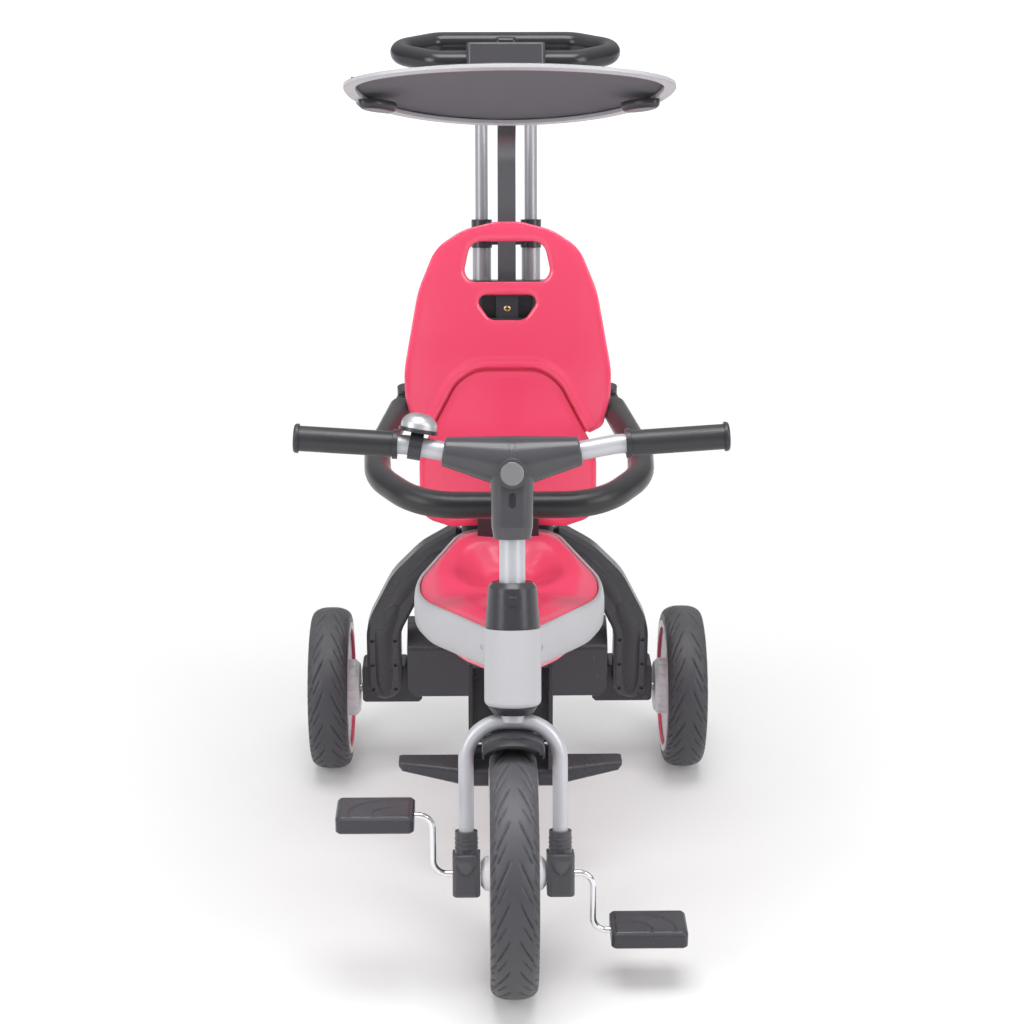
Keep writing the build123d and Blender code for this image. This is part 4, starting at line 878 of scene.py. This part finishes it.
def seat_pan():
    """The red pan with a skirt down inside the band, its rings closer together near the edge."""
    shares = [1.0, 0.995, 0.985, 0.97, 0.95, 0.925] + [0.89 - 0.0445 * i for i in range(20)] + [0.0]
    verts = []
    for spot, inward in seat_ring:
        edge = spot + inward * pan_gap
        verts.append(place(edge.x, edge.y, band_top(edge.y) - pan_skirt))
        for share in shares:
            at = seat_centre.lerp(edge, share)
            verts.append(place(at.x, at.y, pan_height(at.x, at.y, (edge - at).length)))
    pan = piece("bowl_pan", verts, grid_faces(len(seat_ring), len(shares) + 1, True), coral_red, "frame", 60.0)
    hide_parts("seat_pan")
    return pan


def seat_boat():
    """The red underside, sloping from the band's foot to a flat keel."""
    shares = [1.0, 0.9, 0.8, 0.7, 0.6, 0.5, 0.25, 0.0]
    verts = []
    for spot, inward in seat_ring:
        rim = spot - inward * boat_out
        drop = boat_drop + nose_drop * (1 - ease(spot.y, nose_from, nose_to))
        verts.append(place(rim.x, rim.y, band_foot(spot.y) + boat_tuck))
        for share in shares:
            at = seat_centre.lerp(rim, share)
            deep = min((1 - share) / keel_share, 1.0)
            verts.append(place(at.x, at.y, (band_foot(spot.y) - drop) * (1 - deep) + keel_height * deep))
    boat = piece("red_boat", verts, grid_faces(len(seat_ring), len(shares) + 1, True), coral_red, "frame", 60.0)
    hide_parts("seat_underside")
    return boat


seat_band()
seat_pan()
seat_boat()

# Cap and lip of the footrest's post
for name, half, near, far, low, high, edge in (("post_cap", 46.0, 203.4, 246.6, 262.0, 279.0, 1.0),
                                               ("post_lip", 41.4, 242.6, 246.8, 155.0, 160.0, 0.5)):
    corners = [(-half, near), (half, near), (half, far), (-half, far)]
    plate(name, corners, low, high, Matrix.Translation(place(0, 0, 0)), soft_black, "frame", edge)


# Cross-recessed screws
def screw(name, spot, facing, radius, material, body, height=0.35, recess=0.55):
    """A domed screw head with a cross recess, facing a direction."""
    rings, steps = 12, 48
    arm, girth = radius * 0.62, radius * 0.15
    turn = Vector(facing).normalized().to_track_quat("Z", "Y").to_matrix().to_4x4()
    at = Matrix.Translation(Vector(spot)) @ turn
    verts = []
    for i in range(rings + 1):
        share = i / rings
        for j in range(steps):
            angle = 2 * pi * j / steps
            x, y = radius * share * cos(angle), radius * share * sin(angle)
            inside = max((1 - ease(abs(x), girth * 0.7, girth * 1.3)) * (1 - ease(abs(y), arm * 0.9, arm)),
                         (1 - ease(abs(y), girth * 0.7, girth * 1.3)) * (1 - ease(abs(x), arm * 0.9, arm)))
            z = height * radius * (1 - share ** 2.4) - recess * radius * inside * (1 - share * 0.7)
            verts.append(at @ (Vector((x, y, z)) * MM))
    for j in range(steps):
        angle = 2 * pi * j / steps
        verts.append(at @ (Vector((radius * cos(angle), radius * sin(angle), -radius * 0.6)) * MM))
    faces = grid_faces(rings + 2, steps, wrap_columns=True)
    faces.append(tuple(range((rings + 1) * steps, (rings + 2) * steps)))
    return piece(name, verts, faces, material, body, 40.0)


back_facing = back_frame.to_3x3() @ Vector((0, 0, 1))
bracket_spot = back_frame @ (Vector((0.0, 258.0, -10.9)) * MM)
screw("bracket_screw", bracket_spot, back_facing, 4.2, yellow_zinc, "frame")


# Small trim moulded on the solids
steer_frame = tilted(0, 0, front_radius, -rake)
leg_front = 484.0
ridge_bed = 0.3
fork_half = 47.5
bracket_face = 17.5


def leg_ridge(name, side, points, radii, half, height, point):
    """A crowned ridge down the front of a leg, pointed at both ends."""
    route = rounded_route(points, radii, 0.8)
    gone = lengths_along(route)
    across = 14
    verts = []
    for i, spot in enumerate(route):
        ahead = ahead_at(route, i)
        left = Vector((-ahead.y, ahead.x, 0.0))
        room = min(gone[i], gone[-1] - gone[i], point) / point
        swell = sqrt(max(1 - (1 - room) ** 2, 0.0))
        for k in range(across + 1):
            share = 2 * k / across - 1
            at = spot + left * (share * half * swell)
            lift = height * swell * (1 - abs(share) ** 2.6) - ridge_bed
            verts.append(place(side * at.x, leg_front - lift, at.y))
    ridge = piece(name, verts, grid_faces(len(route), across + 1), soft_black, "frame", 60.0)
    return ridge


for side, label in ((-1, "left"), (1, "right")):
    leg_ridge(f"{label}_leg_lower_ridge", side, [(151.0, 104.0), (151.0, 193.0), (133.0, 228.0)], (60.0,),
              11.2, 2.6, 34.0)
    leg_ridge(f"{label}_leg_upper_ridge", side, [(138.0, 219.0), (122.0, 250.0), (91.0, 281.5), (70.0, 295.5)],
              (60.0, 60.0), 10.0, 2.2, 40.0)


def turned(name, profile, steps, frame_at, material, body):
    """A ring turned about a frame's upright axis from corners given as radius and height."""
    verts = []
    for i in range(steps):
        turn = 2 * pi * i / steps
        for radius, height in profile:
            verts.append(frame_at @ (Vector((radius * cos(turn), radius * sin(turn), height)) * MM))
    faces = grid_faces(steps, len(profile), wrap_rows=True, wrap_columns=True)
    ring = piece(name, verts, faces, material, body, 50.0)
    return ring


rib_heights = (27.0, 31.5, 36.0)
rib_section = [(11.3, -0.9), (11.85, -0.5), (11.95, 0.0), (11.85, 0.5), (11.3, 0.9)]
socket_tip = [(-10.4, 22.5), (-10.4, 15.0), (-7.0, 8.5), (0.0, 1.5), (7.0, 8.5), (10.4, 15.0), (10.4, 22.5)]
for side, label in ((-1, "left"), (1, "right")):
    fork_side = steer_frame @ Matrix.Translation(Vector((side * fork_half, 0.0, 0.0)) * MM)
    for row, height in enumerate(rib_heights):
        rib = [(radius, height + rise) for radius, rise in rib_section]
        turned(f"{label}_socket_rib_{row + 1}", rib, 64, fork_side, dark_grey, "steering")
    bracket_front = Matrix.Translation(Vector((0.0, -bracket_face, 0.0)) * MM)
    front_face = fork_side @ bracket_front @ Matrix.Rotation(pi / 2, 4, "X")
    plate(f"{label}_socket_tongue", socket_tip, 0.0, 2.6, front_face, dark_grey, "steering", 0.9)


# Mudguard over the front tyre
def fender_shell():
    """A crowned shell with short skirts and a rounded front end that curls down, in place of its solid."""
    across, along = 44, 48
    half, crown, side_rise, wall, skirt = 31.4, 147.0, 14.0, 2.6, 6.0
    rear_end, front_end, nose = -34.0, 14.0, 2.2
    skirt_from, bow_share = 0.92, 0.96
    curl, curl_from, curl_length = 3.5, 0.9, 0.1
    verts = []
    for under in (0.0, wall):
        for i in range(along + 1):
            gone = i / along
            for k in range(across + 1):
                share = 2 * k / across - 1
                bow = min(abs(share) / skirt_from, 1.0)
                reach = front_end + nose * sqrt(max(1 - bow ** 2.6, 0.0))
                angle = radians(rear_end + (reach - rear_end) * gone)
                height = crown - side_rise * (1 - sqrt(max(1 - (bow_share * bow) ** 2, 0.0)))
                curled = curl * max((gone - curl_from) / curl_length, 0.0) ** 2
                height -= skirt * ease(abs(share), skirt_from, 1.0) + curled + under
                x = (half - under) * (bow if share > 0 else -bow)
                verts.append(steer_frame @ (Vector((x, -height * sin(angle), height * cos(angle))) * MM))
    count = (along + 1) * (across + 1)
    top = grid_faces(along + 1, across + 1)
    faces = top + [tuple(v + count for v in reversed(face)) for face in top]
    edge = [i * (across + 1) for i in range(along + 1)] + [along * (across + 1) + k for k in range(1, across + 1)]
    edge += [i * (across + 1) + across for i in range(along - 1, -1, -1)] + list(range(across - 1, 0, -1))
    for a, b in zip(edge, edge[1:] + edge[:1]):
        faces.append((a, b, b + count, a + count))
    shell = piece("fender_shell", verts, faces, gloss_black, "steering", 45.0)
    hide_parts("fender")
    return shell


fender_shell()

# Small screws on the band's nose
for side, label in ((-1, "left"), (1, "right")):
    spot, facing = place(side * 31.6, 119.0, 322.0), (side * 0.918, -0.397, 0.0)
    screw(f"{label}_band_screw", spot, facing, 3.0, plain_steel, "frame", 0.1, 0.5)


# Pedal pads with nested curved grooves
pedal_out = 138.0
crank_throw = 66.0
pad_foot = 8.45
pad_rise = 0.9
groove_depth = 0.75
groove_rings = (0.86, 0.52)
groove_floor, groove_edge = 0.012, 0.035


def pedal_pad(name, body, centre, turn_over, outer):
    """A thin pad on a pedal face with two curved grooves nested round its outer corner."""
    columns, rows = 72, 46
    long_half, wide_half = 35.0, 21.0
    verts = []
    for i in range(rows + 1):
        for k in range(columns + 1):
            x = long_half * (2 * k / columns - 1)
            y = wide_half * (2 * i / rows - 1)
            from_inner = (x * outer + long_half) / (2 * long_half)
            from_front = (y + wide_half) / (2 * wide_half)
            ring = (from_inner ** 3 + from_front ** 3) ** (1 / 3)
            groove = max(1 - ease(abs(ring - at), groove_floor, groove_edge) for at in groove_rings)
            edge = min(long_half - abs(x), wide_half - abs(y))
            lift = pad_rise * ease(edge, 0.0, 1.6) - groove_depth * groove * ease(edge, 1.2, 2.4)
            verts.append(centre + Vector((x, y, turn_over * (pad_foot + lift))) * MM)
    pad = piece(name, verts, grid_faces(rows + 1, columns + 1), soft_black, body, 60.0)
    return pad


for side, label in ((-1, "left"), (1, "right")):
    middle = place(side * pedal_out, 0.0, front_radius - side * crank_throw)
    for turn_over, word in ((1, "upper"), (-1, "lower")):
        pedal_pad(f"{label}_pedal_{word}_pad", f"{label}_pedal_block", middle, turn_over, side)


# Camera at the photograph's place
camera_down = 19.23
camera_aside = -0.83
eye = bpy.data.cameras.new("camera")
eye.sensor_width = 36.0
eye.lens = 73.83
camera = bpy.data.objects.new("camera", eye)
camera.location = place(-28.8, -1886.0, 1170.0)
camera.rotation_euler = (radians(90 - camera_down), 0.0, radians(camera_aside))
bpy.context.scene.collection.objects.link(camera)
bpy.context.scene.camera = camera


# Floor and light
def floor_finish():
    """White floor that keeps the shadow; seen straight on or in a reflection it is lifted towards white."""
    material = bpy.data.materials.new("studio_floor")
    material.use_nodes = True
    tree = material.node_tree
    tree.nodes.clear()
    out = tree.nodes.new("ShaderNodeOutputMaterial")
    path = put(tree, "ShaderNodeLightPath")
    seen = sums(tree, "ADD", path.outputs["Is Camera Ray"], path.outputs["Is Glossy Ray"], clamp=True)
    matt = put(tree, "ShaderNodeBsdfDiffuse", [("Color", (0.80, 0.80, 0.80, 1.0))])
    spot = put(tree, "ShaderNodeTexCoord").outputs["Object"]
    away = put(tree, "ShaderNodeVectorMath", [(0, spot)], operation="LENGTH").outputs["Value"]
    paler = put(tree, "ShaderNodeMapRange", [("Value", away), ("From Min", 0.4), ("From Max", 4.5),
                                             ("To Min", 0.10), ("To Max", 0.68)])
    lift = put(tree, "ShaderNodeEmission", [("Color", (1.0, 1.0, 1.0, 1.0)),
                                            ("Strength", sums(tree, "MULTIPLY", seen, paler.outputs[0]))])
    both = put(tree, "ShaderNodeAddShader", [(0, matt.outputs[0]), (1, lift.outputs[0])])
    tree.links.new(both.outputs[0], out.inputs["Surface"])
    return material


far = 90
floor_mesh = bpy.data.meshes.new("floor")
floor_mesh.from_pydata([(-far, -far, 0), (far, -far, 0), (far, far, 0), (-far, far, 0)], [], [(0, 1, 2, 3)])
floor_mesh.materials.append(floor_finish())
floor = bpy.data.objects.new("floor", floor_mesh)
bpy.context.scene.collection.objects.link(floor)


def soft_box(name, spot, aim, size, power):
    """A rectangular lamp at a spot, turned to a point, in metres and watts."""
    light = bpy.data.lights.new(name, "AREA")
    light.shape = "RECTANGLE"
    light.size, light.size_y = size
    light.energy = power
    lamp = bpy.data.objects.new(name, light)
    lamp.location = spot
    lamp.rotation_euler = (Vector(aim) - Vector(spot)).to_track_quat("-Z", "Y").to_euler()
    bpy.context.scene.collection.objects.link(lamp)
    return lamp


soft_box("overhead_box", (0.0, -0.45, 2.9), (0.0, 0.0, 0.2), (1.8, 1.3), 42.0)
soft_box("left_box", (-2.3, -1.7, 1.7), (0.0, 0.0, 0.5), (1.2, 1.8), 30.0)
soft_box("right_box", (2.3, -1.7, 1.7), (0.0, 0.0, 0.5), (1.2, 1.8), 30.0)

# White surroundings, dimmer at the horizon than overhead
world = bpy.data.worlds.new("studio")
world.use_nodes = True
sky = world.node_tree.nodes["Background"]
sky.inputs["Color"].default_value = (1.0, 1.0, 1.0, 1.0)
heading = put(world.node_tree, "ShaderNodeTexCoord").outputs["Generated"]
upward = put(world.node_tree, "ShaderNodeSeparateXYZ", [("Vector", heading)]).outputs["Z"]
paler_above = put(world.node_tree, "ShaderNodeMapRange", [("Value", upward), ("From Min", 0.0), ("From Max", 0.9),
                                                          ("To Min", 0.25), ("To Max", 0.70)])
world.node_tree.links.new(paler_above.outputs[0], sky.inputs["Strength"])
bpy.context.scene.world = world
bpy.context.scene.view_settings.view_transform = "Standard"
